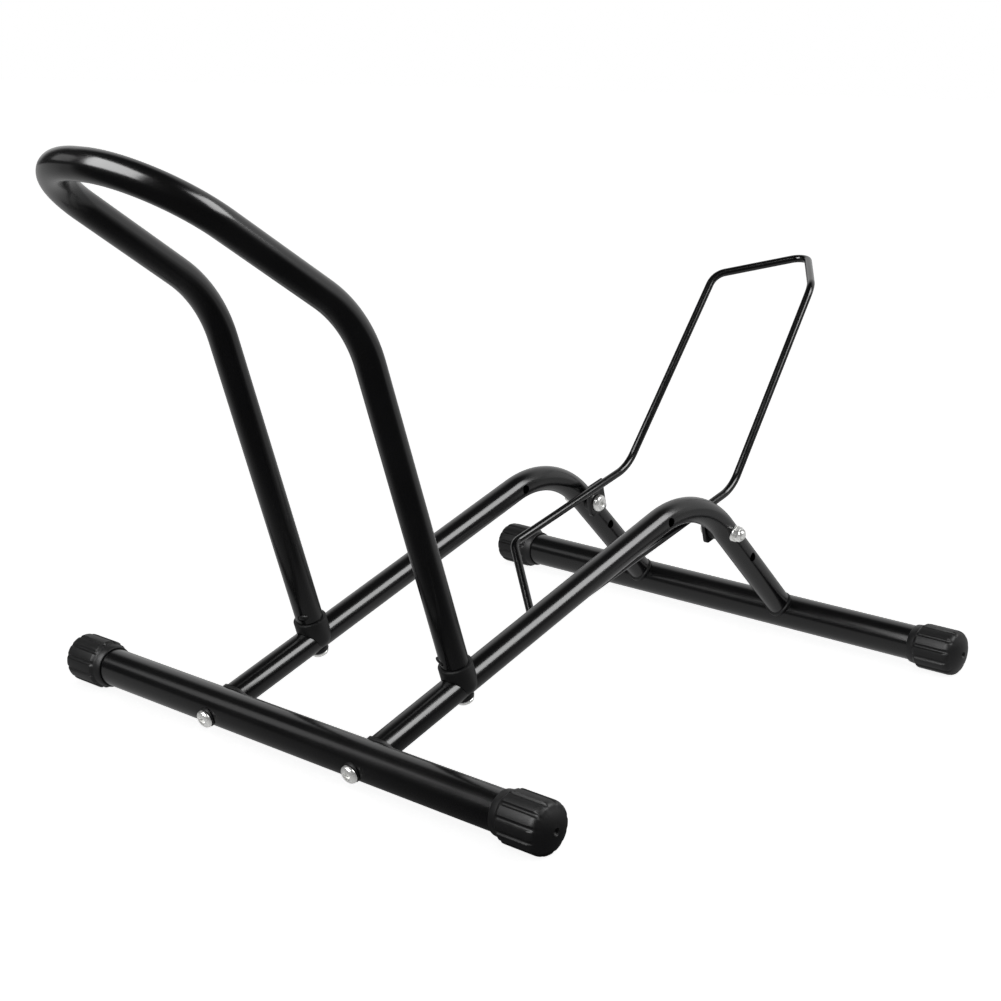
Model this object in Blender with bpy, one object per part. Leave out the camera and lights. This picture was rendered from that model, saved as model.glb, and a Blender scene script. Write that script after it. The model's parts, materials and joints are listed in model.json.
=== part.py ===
"""Bike display stand for one wheel.

Two bent tube rails join a front and a rear foot tube. A bent tube hoop stands on
the rails and leans forward, and the tyre's front rests in its nose. A wire cradle
turns on two bolts through the rails and takes the tyre's rear. Each tube joint is
bolted through a moulded saddle that is cut to the tube it sits on.

Lengths are in metres and angles in degrees. X runs across the stand, Y from the
front foot to the rear foot, Z up. The pieces are drawn with the front foot's axis
at y = 0, z = 0, and hang under one empty that puts the origin on the floor below
the middle of the stand.
"""
import math

import bmesh
import bpy
from mathutils import Matrix, Vector

# Feet: two straight tubes across the stand
FOOT_D = 0.0254
FOOT_WALL = 0.0012
FOOT_SPAN = 0.4445
FRONT_REACH = 0.2144
REAR_REACH = 0.2172

# Rails: two tubes from foot to foot, with one bend at the hump
RAIL_D = 0.0185
RAIL_WALL = 0.0012
RAIL_SPACING = 0.1337
HUMP_Y = 0.3225
HUMP_Z = 0.113
HUMP_BEND_R = 0.076

# Hoop: one tube with two legs, two arms and a half-round nose
HOOP_D = 0.0185
HOOP_WALL = 0.0012
HOOP_ALONG_RAIL = 0.0869
HOOP_LEAN = 20.4
HOOP_LEG_TOE_IN = 0.5
HOOP_BEND_Z = 0.2671
HOOP_BEND_R = 0.0874
ARM_LEAN = 58.0
ARM_LENGTH = 0.1643
ARM_TOE_IN = 2.3
NOSE_BEND_R = 0.0572

# Wire cradle: one closed rod, from its front V past the pivots up to its top V
ROD_D = 0.006
ROD_HALF_WIDTH = 0.0492
ROD_ABOVE_PIVOT = 0.0147
ROD_SLOPE = 15.8
ROD_FRONT_REACH = 0.0997
ROD_BACK_REACH = 0.0361
ROD_LEG_LEAN = 34.5
ROD_LEG_LENGTH = 0.1716
ROD_TOE_IN = 1.3
ROD_TOP_REACH = 0.0622
ROD_TOP_RISE = 0.0143
ROD_DROP_LEAN = 32.0
ROD_DROP_LENGTH = 0.058
ROD_BACK_BEND_R = 0.0325
ROD_FRONT_BEND_R = 0.011
ROD_TOP_BEND_R = 0.0185
ROD_APEX_BEND_R = 0.0095
ROD_TOE_BEND_R = 0.0122

# Pivot and the two spare holes, measured along the rail from the hump's corner
PIVOT_BEHIND_HUMP = 0.0523
SPARE_BEHIND_HUMP = 0.0847
SPARE_BEFORE_HUMP = 0.0417

# Cradle tabs: flat plates welded to the rod's outer sides
TAB_THICK = 0.003
TAB_BEFORE_PIVOT = 0.0088
TAB_BEHIND_PIVOT = 0.0094
TAB_BELOW_PIVOT = 0.0088
TAB_PAST_ROD = 0.0006
TAB_CORNER_R = 0.003

# End caps: fluted sleeves over the ends of the foot tubes
CAP_LENGTH = 0.0365
CAP_LIP_R = 0.0140
CAP_COLLAR_R = 0.0148
CAP_COLLAR_LENGTH = 0.0065
CAP_LAND_R = 0.0164
CAP_VALLEY_R = 0.0153
CAP_STEP = 0.0012
CAP_RIM_LENGTH = 0.0055
CAP_END_R = 0.0136
CAP_END_WALL = 0.003
CAP_CROWN = 0.0008
CAP_DIMPLE_R = 0.0022
CAP_DIMPLE_DEPTH = 0.0012
CAP_FLUTES = 12
CAP_LAND_ANGLE = 14.0

# Hoop saddles: a moulded collar on the rail with a spigot up into the leg
SADDLE_R = 0.0112
SADDLE_RISE = 0.0159
SADDLE_EAR_ROUND = 0.0095
SADDLE_EAR_DROP = 0.006
SADDLE_SPIGOT = 0.019
STUD_R = 0.003
STUD_UP = 0.0052
STUD_PROUD = 0.0014

# Rail end saddles: a thin moulded seat on the foot with a spigot into the rail
SEAT_THICK = 0.0019
SEAT_R = 0.0103
SEAT_SPIGOT = 0.012

# Threaded slugs fixed inside the tube ends
SLUG_LENGTH = 0.014
SLUG_PAST_SPIGOT = 0.001

# Tube bolts and their curved washers
BOLT_R = 0.0035
BOLT_HEAD_R = 0.0062
BOLT_HEAD_H = 0.004
BOLT_SOCKET_FLATS = 0.0045
BOLT_SOCKET_DEPTH = 0.0022
BOLT_IN_SLUG = 0.011
FOOT_WASHER_R = 0.0075
HOOP_WASHER_R = 0.0066
WASHER_CREST = 0.0014

# Pivot bolts, with a curved spacer inside the rail, a washer and a nut outside it
PIVOT_R = 0.003
PIVOT_HEAD_R = 0.0065
PIVOT_HEAD_H = 0.0042
PIVOT_SOCKET_FLATS = 0.004
PIVOT_SOCKET_DEPTH = 0.002
PIVOT_WASHER_R = 0.0072
PIVOT_WASHER_CREST = 0.001
PIVOT_PAST_NUT = 0.0016
NUT_FLATS = 0.010
NUT_H = 0.005

# Clearances
SEAT_GAP = 0.0003
WELD_GAP = 0.0002
HOLE_PLAY = 0.0003

# Facets
TUBE_SIDES = 18
FOOT_SIDES = 24
ROD_SIDES = 10
TURNED_SIDES = 16
HOLE_SIDES = 12
CUTTER_SIDES = 32
BEND_STEP = 9.0

# Places worked out from the sizes above
FOOT_R = FOOT_D / 2
RAIL_R = RAIL_D / 2
HOOP_R = HOOP_D / 2
ROD_R = ROD_D / 2
RAIL_X = RAIL_SPACING / 2
FRONT_FOOT = Vector((0, 0, 0))
REAR_FOOT = Vector((0, FOOT_SPAN, 0))
HUMP = Vector((0, HUMP_Y, HUMP_Z))
UP_RAIL = (HUMP - FRONT_FOOT).normalized()
DOWN_RAIL = (REAR_FOOT - HUMP).normalized()
HOOP_FOOT = FRONT_FOOT + UP_RAIL * HOOP_ALONG_RAIL
PIVOT = HUMP + DOWN_RAIL * PIVOT_BEHIND_HUMP
SPARE_HOLES = (HUMP + DOWN_RAIL * SPARE_BEHIND_HUMP, HUMP - UP_RAIL * SPARE_BEFORE_HUMP)
RAIL_END_R = FOOT_R + SEAT_THICK + 2 * SEAT_GAP
TAB_X = ROD_HALF_WIDTH + ROD_R + WELD_GAP
SIDES = (("left", -1), ("right", 1))


def lean_forward(angle):
    """Unit vector at an angle from upright towards the front of the stand."""
    return Vector((0, -math.sin(math.radians(angle)), math.cos(math.radians(angle))))


def leg_axis(side):
    """Unit vector up one leg of the hoop, leaning forward and slightly inward."""
    return (lean_forward(HOOP_LEAN) - Vector((side * math.tan(math.radians(HOOP_LEG_TOE_IN)), 0, 0))).normalized()


ARM = lean_forward(ARM_LEAN)


def clear_scene():
    """Remove what the scene holds at the start."""
    for old in list(bpy.data.objects):
        bpy.data.objects.remove(old)


def finish(name, colour, roughness, metallic):
    """Principled material of one colour."""
    made = bpy.data.materials.new(name)
    made.use_nodes = True
    shader = made.node_tree.nodes["Principled BSDF"]
    shader.inputs["Base Color"].default_value = (*colour, 1)
    shader.inputs["Roughness"].default_value = roughness
    shader.inputs["Metallic"].default_value = metallic
    return made


def empty(name, location, parent=None):
    """Empty that carries other objects."""
    made = bpy.data.objects.new(name, None)
    made.location = location
    made.parent = parent
    bpy.context.scene.collection.objects.link(made)
    return made


def add_object(name, bm, material, parent, origin=(0, 0, 0), turn=None):
    """Object from a bmesh, with outward faces and smooth round sides."""
    bmesh.ops.recalc_face_normals(bm, faces=bm.faces)
    mesh = bpy.data.meshes.new(name)
    bm.to_mesh(mesh)
    bm.free()
    mesh.shade_smooth()
    mesh.set_sharp_from_angle(angle=math.radians(40))
    mesh.materials.append(material)
    made = bpy.data.objects.new(name, mesh)
    made.parent = parent
    made.location = origin
    if turn is not None:
        made.rotation_euler = turn.to_euler()
    bpy.context.scene.collection.objects.link(made)
    return made


def shape_with(target, bm, operation):
    """Boolean of the target with a helper shape drawn in the target's own frame."""
    helper = add_object(target.name + "_" + operation.lower(), bm, target.data.materials[0], target.parent,
                        target.location, target.rotation_euler.to_matrix())
    helper.hide_render = True
    helper.display_type = "WIRE"
    modifier = target.modifiers.new(operation.title(), "BOOLEAN")
    modifier.operation = operation
    modifier.solver = "EXACT"
    modifier.object = helper


def frame_along(z_axis, y_axis):
    """Rotation whose local Z and Y point along the two given directions."""
    z = z_axis.normalized()
    y = (y_axis - z * y_axis.dot(z)).normalized()
    return Matrix((y.cross(z), y, z)).transposed()


def loft(bm, rings, closed=False):
    """Skin over rings of points; a ring of one point is a pole."""
    made = [[bm.verts.new(point) for point in ring] for ring in rings]
    pairs = list(zip(made[:-1], made[1:]))
    if closed:
        pairs.append((made[-1], made[0]))
    for low, high in pairs:
        count = max(len(low), len(high))
        for i in range(count):
            j = (i + 1) % count
            if len(low) == 1:
                bm.faces.new((low[0], high[i], high[j]))
            elif len(high) == 1:
                bm.faces.new((low[i], low[j], high[0]))
            else:
                bm.faces.new((low[i], low[j], high[j], high[i]))
    return made


def circle(radius, z, sides=TURNED_SIDES):
    """Ring about local Z at one height."""
    steps = [2 * math.pi * i / sides for i in range(sides)]
    return [Vector((radius * math.cos(a), radius * math.sin(a), z)) for a in steps]


def draped(first, last, tube_r, tilt=0.0, steps=2):
    """Rings about local Z, from one radius to another, that lie on a tube along local Y."""
    rings = []
    for k in range(steps + 1):
        ring = circle(first + (last - first) * k / steps, 0)
        for point in ring:
            point.z = (math.sqrt(tube_r ** 2 - point.x ** 2) + point.y * math.sin(tilt)) / math.cos(tilt)
        rings.append(ring)
    return rings


def pole(z):
    """Ring of one point on local Z."""
    return [Vector((0, 0, z))]


def prism(bm, start, end, radius, sides, turn=0.0):
    """Closed round or many-sided bar between two points."""
    along = end - start
    side = Vector((1, 0, 0)) if abs(along.x) < 0.9 * along.length else Vector((0, 1, 0))
    axes = frame_along(along, side) @ Matrix.Rotation(turn, 3, "Z")
    rings = [[start + axes @ p for p in circle(radius, z, sides)] for z in (0, along.length)]
    loft(bm, [[start], *rings, [end]])


def rounded(corners, radii, closed=False):
    """Points along straight runs whose corners are arcs; a radius of None is an end."""
    path = []
    count = len(corners)
    for i, (corner, radius) in enumerate(zip(corners, radii)):
        if radius is None and not closed:
            path.append(corner.copy())
            continue
        back = (corners[i - 1] - corner).normalized()
        ahead = (corners[(i + 1) % count] - corner).normalized()
        half = back.angle(ahead) / 2
        centre = corner + (back + ahead).normalized() * radius / math.sin(half)
        start = corner + back * radius / math.tan(half) - centre
        end = corner + ahead * radius / math.tan(half) - centre
        sweep = math.pi - 2 * half
        steps = max(2, math.ceil(math.degrees(sweep) / BEND_STEP))
        for k in range(steps + 1):
            part = k / steps
            path.append(centre + (start * math.sin((1 - part) * sweep) + end * math.sin(part * sweep))
                        / math.sin(sweep))
    return path


def rings_along(path, radius, sides, closed=False):
    """Rings square to a path, carried along it without twist."""
    count = len(path)
    tangents = []
    for i, point in enumerate(path):
        back = path[i] - path[i - 1] if closed or i else path[1] - path[0]
        ahead = path[(i + 1) % count] - point if closed or i < count - 1 else back
        tangents.append((back.normalized() + ahead.normalized()).normalized())
    side = tangents[0].orthogonal().normalized()
    if abs(tangents[0].x) < 0.9:
        side = Vector((1, 0, 0))
    rings = []
    previous = tangents[0]
    for point, tangent in zip(path, tangents):
        side = previous.rotation_difference(tangent) @ side
        side = (side - tangent * side.dot(tangent)).normalized()
        up = tangent.cross(side)
        previous = tangent
        angles = [2 * math.pi * k / sides for k in range(sides)]
        rings.append([point + (side * math.cos(a) + up * math.sin(a)) * radius for a in angles])
    return rings


def seat_on_foot(ring, foot, away):
    """Slide a tube's end ring along the tube until it lies on the saddle over a foot."""
    for point in ring:
        offset = point - foot
        offset.x = 0
        along = offset.dot(away)
        across = (offset - away * along).length
        point += away * (math.sqrt(RAIL_END_R ** 2 - across ** 2) - along)


def foot_tube(name, foot, reach, downhill, material, parent):
    """Straight foot tube with a cross hole for each rail's bolt."""
    half = reach - CAP_END_WALL - CAP_CROWN - SEAT_GAP
    bm = bmesh.new()
    loft(bm, [circle(FOOT_R, -half, FOOT_SIDES), circle(FOOT_R, half, FOOT_SIDES),
              circle(FOOT_R - FOOT_WALL, half, FOOT_SIDES), circle(FOOT_R - FOOT_WALL, -half, FOOT_SIDES)], True)
    turn = frame_along(Vector((1, 0, 0)), Vector((0, 0, 1)))
    tube = add_object(name, bm, material, parent, foot, turn)
    holes = bmesh.new()
    through = turn.transposed() @ downhill * (FOOT_R + WASHER_CREST)
    for _, side in SIDES:
        place = Vector((0, 0, side * RAIL_X))
        prism(holes, place - through, place + through, BOLT_R + HOLE_PLAY, HOLE_SIDES)
    shape_with(tube, holes, "DIFFERENCE")


def cap_ring(z, land, valley):
    """Ring of lands and valleys about local Z, one land facing local Y."""
    ring = []
    half_land = math.radians(CAP_LAND_ANGLE) / 2
    pitch = 2 * math.pi / CAP_FLUTES
    for flute in range(CAP_FLUTES):
        middle = math.pi / 2 + flute * pitch
        for angle, radius in ((-half_land, land), (half_land, land), (pitch / 2, valley)):
            ring.append(Vector((radius * math.cos(middle + angle), radius * math.sin(middle + angle), z)))
    return ring


def rounded_rim(rim, land):
    """Rings that round lands and valleys off into one circle at the cap's end."""
    rings = []
    for turn in (0, 30, 60, 90):
        share = math.cos(math.radians(turn))
        height = rim - CAP_RIM_LENGTH * (1 - math.sin(math.radians(turn)))
        rings.append(cap_ring(height, CAP_END_R + (land - CAP_END_R) * share,
                              CAP_END_R + (CAP_VALLEY_R - CAP_END_R) * share))
    return rings


def end_cap(name, foot, reach, side, material, parent):
    """Fluted sleeve with a smooth collar, a rounded rim, a crowned end and a dimple."""
    land = CAP_LAND_R / math.cos(math.radians(CAP_LAND_ANGLE) / 2)
    bore = FOOT_R + SEAT_GAP
    bore_end = CAP_LENGTH - CAP_CROWN - CAP_END_WALL
    rim = CAP_LENGTH - CAP_CROWN
    rings = [
        pole(bore_end),
        cap_ring(bore_end, bore, bore),
        cap_ring(0, bore, bore),
        cap_ring(0, CAP_LIP_R, CAP_LIP_R),
        cap_ring(CAP_COLLAR_LENGTH, CAP_COLLAR_R, CAP_COLLAR_R),
        cap_ring(CAP_COLLAR_LENGTH + CAP_STEP, land, CAP_VALLEY_R),
        *rounded_rim(rim, land),
        cap_ring(CAP_LENGTH, CAP_DIMPLE_R, CAP_DIMPLE_R),
        pole(CAP_LENGTH - CAP_DIMPLE_DEPTH),
    ]
    bm = bmesh.new()
    loft(bm, rings)
    inner_end = foot + Vector((side * (reach - CAP_LENGTH), 0, 0))
    turn = frame_along(Vector((side, 0, 0)), Vector((0, 0, -1)))
    add_object(name, bm, material, parent, inner_end, turn)


def rail(name, side, material, parent):
    """Bent tube from foot to foot, its ends cut to the saddles on the feet."""
    path = rounded([FRONT_FOOT, HUMP, REAR_FOOT], [None, HUMP_BEND_R, None])
    outer = rings_along(path, RAIL_R, TUBE_SIDES)
    inner = rings_along(path, RAIL_R - RAIL_WALL, TUBE_SIDES)
    for wall in (outer, inner):
        seat_on_foot(wall[0], FRONT_FOOT, UP_RAIL)
        seat_on_foot(wall[-1], REAR_FOOT, -DOWN_RAIL)
    bm = bmesh.new()
    loft(bm, outer + inner[::-1], True)
    tube = add_object(name, bm, material, parent, Vector((side * RAIL_X, 0, 0)))
    holes = bmesh.new()
    across = Vector((RAIL_D, 0, 0))
    for place in (PIVOT, *SPARE_HOLES):
        prism(holes, place - across, place + across, PIVOT_R + HOLE_PLAY, HOLE_SIDES)
    through = leg_axis(side) * RAIL_R * 1.3
    prism(holes, HOOP_FOOT - through, HOOP_FOOT + through, BOLT_R + HOLE_PLAY, HOLE_SIDES)
    shape_with(tube, holes, "DIFFERENCE")


def wheel_hoop(material, parent):
    """One tube: up the left leg, round the nose and down the right leg."""
    in_arm = ARM_LENGTH * math.tan(math.radians(ARM_TOE_IN))
    halves = []
    for _, side in SIDES:
        leg = leg_axis(side)
        base = HOOP_FOOT + Vector((side * RAIL_X, 0, 0))
        foot = base + leg * SADDLE_RISE
        bend = base + leg * (HOOP_BEND_Z - HOOP_FOOT.z) / leg.z
        nose = bend + ARM * ARM_LENGTH - Vector((side * in_arm, 0, 0))
        halves.append([foot, bend, nose])
    corners = halves[0] + halves[1][::-1]
    path = rounded(corners, [None, HOOP_BEND_R, NOSE_BEND_R, NOSE_BEND_R, HOOP_BEND_R, None])
    outer = rings_along(path, HOOP_R, TUBE_SIDES)
    inner = rings_along(path, HOOP_R - HOOP_WALL, TUBE_SIDES)
    bm = bmesh.new()
    loft(bm, outer + inner[::-1], True)
    hoop = add_object("wheel_hoop", bm, material, parent)
    holes = bmesh.new()
    for _, side in SIDES:
        leg = leg_axis(side)
        stud = HOOP_FOOT + Vector((side * RAIL_X, 0, 0)) + leg * (SADDLE_RISE + STUD_UP)
        front = frame_along(leg, UP_RAIL) @ Vector((0, -HOOP_R, 0))
        prism(holes, stud + front * 0.5, stud + front * 1.5, STUD_R + HOLE_PLAY, HOLE_SIDES)
    shape_with(hoop, holes, "DIFFERENCE")


def hoop_saddle(name, side, material, parent):
    """Collar cut to the rail, with ears down its sides, a spigot and a locating stud."""
    spigot_r = HOOP_R - HOOP_WALL - SEAT_GAP
    top = SADDLE_RISE - SEAT_GAP
    bore = BOLT_R + HOLE_PLAY
    rings = [circle(bore, -SADDLE_EAR_DROP)]
    for share in (1.0, 0.6, 0.0):
        drop = SADDLE_EAR_DROP * share
        rings.append(circle(SADDLE_R * math.sqrt(1 - (drop / SADDLE_EAR_ROUND) ** 2), -drop))
    rings.append(circle(SADDLE_R, top - SEAT_GAP))
    rings.append(circle(SADDLE_R - SEAT_GAP, top))
    rings.append(circle(spigot_r, top))
    rings.append(circle(spigot_r, top + SADDLE_SPIGOT))
    rings.append(circle(bore, top + SADDLE_SPIGOT))
    bm = bmesh.new()
    loft(bm, rings, True)
    origin = HOOP_FOOT + Vector((side * RAIL_X, 0, 0))
    turn = frame_along(leg_axis(side), UP_RAIL)
    saddle = add_object(name, bm, material, parent, origin, turn)
    stud = bmesh.new()
    height = Vector((0, 0, SADDLE_RISE + STUD_UP))
    prism(stud, height - Vector((0, (spigot_r + bore) / 2, 0)), height - Vector((0, HOOP_R + STUD_PROUD, 0)),
          STUD_R, HOLE_SIDES)
    shape_with(saddle, stud, "UNION")
    under = bmesh.new()
    along = turn.transposed() @ UP_RAIL * SADDLE_R * 2
    prism(under, -along, along, RAIL_R + SEAT_GAP, CUTTER_SIDES)
    shape_with(saddle, under, "DIFFERENCE")


def end_saddle(name, foot, away, side, material, parent):
    """Thin seat over the foot under a rail's end, with a spigot inside the rail."""
    bore = BOLT_R + HOLE_PLAY
    low = FOOT_R + SEAT_GAP
    high = low + SEAT_THICK
    spigot_r = RAIL_R - RAIL_WALL - SEAT_GAP
    end = high + SEAT_SPIGOT
    rings = draped(bore, SEAT_R, low) + draped(SEAT_R, spigot_r, high, steps=1)
    rings += [circle(spigot_r, end), circle(bore, end)]
    bm = bmesh.new()
    loft(bm, rings, True)
    add_object(name, bm, material, parent, foot + Vector((side * RAIL_X, 0, 0)),
               frame_along(away, Vector((1, 0, 0))))


def slug(name, origin, away, start, tube_bore, material, parent):
    """Steel slug with a threaded bore, fixed inside a tube's end."""
    outer = tube_bore - SEAT_GAP
    bore = BOLT_R + HOLE_PLAY
    bm = bmesh.new()
    loft(bm, [circle(outer, start), circle(outer, start + SLUG_LENGTH),
              circle(bore, start + SLUG_LENGTH), circle(bore, start)], True)
    add_object(name, bm, material, parent, origin, frame_along(away, Vector((1, 0, 0))))


def curved_washer(name, origin, out, tube_axis, tube_r, hole_r, radius, crest, material, parent):
    """Washer that is flat under the bolt's head and hollow to the tube it lies on."""
    turn = frame_along(out, tube_axis)
    axis = turn.transposed() @ tube_axis
    tilt = math.atan2(axis.z, axis.y)
    seat = tube_r + SEAT_GAP
    top = tube_r + SEAT_GAP + crest
    bm = bmesh.new()
    loft(bm, [circle(hole_r, top), circle(radius, top), *draped(radius, hole_r, seat, tilt)], True)
    add_object(name, bm, material, parent, origin, turn)


def bolt(name, origin, out, seat, tip, shank_r, head_r, head_h, flats, depth, material, parent):
    """Button-head bolt: the head's seat is a height out from the origin, the tip a depth in."""
    bm = bmesh.new()
    rings = [pole(-tip), circle(shank_r, -tip), circle(shank_r, seat), circle(head_r, seat),
             circle(head_r, seat + head_h * 0.2), circle(head_r * 0.86, seat + head_h * 0.72),
             circle(head_r * 0.56, seat + head_h), pole(seat + head_h)]
    loft(bm, rings)
    made = add_object(name, bm, material, parent, origin, frame_along(out, Vector((1, 0.01, 0))))
    socket = bmesh.new()
    top = Vector((0, 0, seat + head_h))
    prism(socket, top - Vector((0, 0, depth)), top + Vector((0, 0, depth)), flats / math.sqrt(3), 6)
    shape_with(made, socket, "DIFFERENCE")


def lock_nut(name, origin, out, seat, material, parent):
    """Six-sided nut with a round collar at its outer end."""
    corner = NUT_FLATS / math.sqrt(3)
    bore = (PIVOT_R + HOLE_PLAY) / math.cos(math.radians(30))
    collar = NUT_FLATS * 0.46
    rings = []
    for radius, z in ((bore, seat), (corner, seat), (corner, seat + NUT_H * 0.7)):
        rings.append(circle(radius, z, 6))
    rings.append(circle(collar, seat + NUT_H * 0.75, 6))
    rings.append(circle(collar, seat + NUT_H, 6))
    rings.append(circle(bore, seat + NUT_H, 6))
    bm = bmesh.new()
    loft(bm, rings, True)
    add_object(name, bm, material, parent, origin, frame_along(out, DOWN_RAIL))


def rod_corners():
    """Corners of the wire's centre line about the pivot, all the way round."""
    slope = math.radians(ROD_SLOPE)
    run = Vector((0, math.cos(slope), math.sin(slope)))
    rise = Vector((0, -math.sin(slope), math.cos(slope)))
    leg = lean_forward(-ROD_LEG_LEAN)
    drop = -lean_forward(-ROD_DROP_LEAN)
    front = rise * ROD_ABOVE_PIVOT - run * ROD_FRONT_REACH
    back = rise * ROD_ABOVE_PIVOT + run * ROD_BACK_REACH
    top = back + leg * ROD_LEG_LENGTH
    top_half = ROD_HALF_WIDTH - ROD_LEG_LENGTH * math.tan(math.radians(ROD_TOE_IN))
    apex = top + Vector((0, ROD_TOP_REACH, ROD_TOP_RISE))
    toe = front + drop * ROD_DROP_LENGTH
    wide = Vector((ROD_HALF_WIDTH, 0, 0))
    narrow = Vector((top_half, 0, 0))
    return [apex, top - narrow, back - wide, front - wide, toe, front + wide, back + wide, top + narrow]


def cradle_rod(material, parent):
    """Closed bent rod with a flat V at each end."""
    radii = [ROD_APEX_BEND_R, ROD_TOP_BEND_R, ROD_BACK_BEND_R, ROD_FRONT_BEND_R,
             ROD_TOE_BEND_R, ROD_FRONT_BEND_R, ROD_BACK_BEND_R, ROD_TOP_BEND_R]
    path = rounded(rod_corners(), radii, True)
    bm = bmesh.new()
    loft(bm, rings_along(path, ROD_R, ROD_SIDES, True), True)
    add_object("cradle_rod", bm, material, parent)


def cradle_tab(name, side, material, parent):
    """Plate beside the rod with rounded lower corners and the pivot's hole."""
    top = ROD_ABOVE_PIVOT + TAB_PAST_ROD
    back, front, low = TAB_BEHIND_PIVOT, -TAB_BEFORE_PIVOT, -TAB_BELOW_PIVOT
    outline = [Vector((0, back, top)), Vector((0, front, top))]
    for corner_y, start in ((front + TAB_CORNER_R, 180), (back - TAB_CORNER_R, 270)):
        for step in range(4):
            a = math.radians(start + step * 30)
            outline.append(Vector((0, corner_y + TAB_CORNER_R * math.cos(a),
                                   low + TAB_CORNER_R + TAB_CORNER_R * math.sin(a))))
    bm = bmesh.new()
    face = bm.faces.new([bm.verts.new(point) for point in outline])
    grown = bmesh.ops.extrude_face_region(bm, geom=[face])
    thick = Vector((side * TAB_THICK, 0, 0))
    bmesh.ops.translate(bm, vec=thick, verts=[v for v in grown["geom"] if isinstance(v, bmesh.types.BMVert)])
    tab = add_object(name, bm, material, parent, Vector((side * TAB_X, 0, 0)),
                     Matrix.Rotation(math.radians(ROD_SLOPE), 3, "X"))
    hole = bmesh.new()
    prism(hole, -2 * thick, 2 * thick, PIVOT_R + HOLE_PLAY, HOLE_SIDES)
    shape_with(tab, hole, "DIFFERENCE")


def foot_joint(end, foot, away, side_name, side, steel, plastic, parent):
    """What fixes one rail's end to a foot: saddle, slug, curved washer and bolt."""
    place = foot + Vector((side * RAIL_X, 0, 0))
    label = end + "_" + side_name
    spigot_end = FOOT_R + SEAT_GAP + SEAT_THICK + SEAT_SPIGOT
    slug_start = spigot_end + SLUG_PAST_SPIGOT
    end_saddle(label + "_rail_saddle", foot, away, side, plastic, parent)
    slug(label + "_rail_slug", place, away, slug_start, RAIL_R - RAIL_WALL, steel, parent)
    curved_washer(label + "_foot_washer", place, -away, Vector((1, 0, 0)), FOOT_R, BOLT_R + HOLE_PLAY,
                  FOOT_WASHER_R, WASHER_CREST, plastic, parent)
    bolt(label + "_foot_bolt", place, -away, FOOT_R + WASHER_CREST + 2 * SEAT_GAP, slug_start + BOLT_IN_SLUG,
         BOLT_R, BOLT_HEAD_R, BOLT_HEAD_H, BOLT_SOCKET_FLATS, BOLT_SOCKET_DEPTH, steel, parent)


def hoop_joint(side_name, side, steel, plastic, parent):
    """What fixes one leg of the hoop to a rail."""
    place = HOOP_FOOT + Vector((side * RAIL_X, 0, 0))
    leg = leg_axis(side)
    slug_start = SADDLE_RISE + SADDLE_SPIGOT + SLUG_PAST_SPIGOT
    hoop_saddle(side_name + "_hoop_saddle", side, plastic, parent)
    slug(side_name + "_hoop_slug", place, leg, slug_start, HOOP_R - HOOP_WALL, steel, parent)
    curved_washer(side_name + "_hoop_washer", place, -leg, UP_RAIL, RAIL_R, BOLT_R + HOLE_PLAY,
                  HOOP_WASHER_R, WASHER_CREST, plastic, parent)
    bolt(side_name + "_hoop_bolt", place, -leg, RAIL_R + WASHER_CREST + 2 * SEAT_GAP, slug_start + BOLT_IN_SLUG,
         BOLT_R, BOLT_HEAD_R, BOLT_HEAD_H, BOLT_SOCKET_FLATS, BOLT_SOCKET_DEPTH, steel, parent)


def pivot_joint(side_name, side, steel, plastic, parent):
    """Bolt that the cradle turns on, its spacer, and the washer and nut outside the rail."""
    place = PIVOT + Vector((side * RAIL_X, 0, 0))
    inward = Vector((-side, 0, 0))
    tab_outer = RAIL_X - TAB_X - TAB_THICK
    spacer_crest = tab_outer - RAIL_R - 2 * SEAT_GAP
    head_seat = RAIL_X - TAB_X + SEAT_GAP
    nut_seat = RAIL_R + PIVOT_WASHER_CREST + 2 * SEAT_GAP
    curved_washer(side_name + "_pivot_spacer", place, inward, DOWN_RAIL, RAIL_R, PIVOT_R + HOLE_PLAY,
                  PIVOT_WASHER_R, spacer_crest, plastic, parent)
    curved_washer(side_name + "_pivot_washer", place, -inward, DOWN_RAIL, RAIL_R, PIVOT_R + HOLE_PLAY,
                  PIVOT_WASHER_R, PIVOT_WASHER_CREST, steel, parent)
    lock_nut(side_name + "_pivot_nut", place, -inward, nut_seat, steel, parent)
    bolt(side_name + "_pivot_bolt", place, inward, head_seat, nut_seat + NUT_H + PIVOT_PAST_NUT,
         PIVOT_R, PIVOT_HEAD_R, PIVOT_HEAD_H, PIVOT_SOCKET_FLATS, PIVOT_SOCKET_DEPTH, steel, parent)


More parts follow.
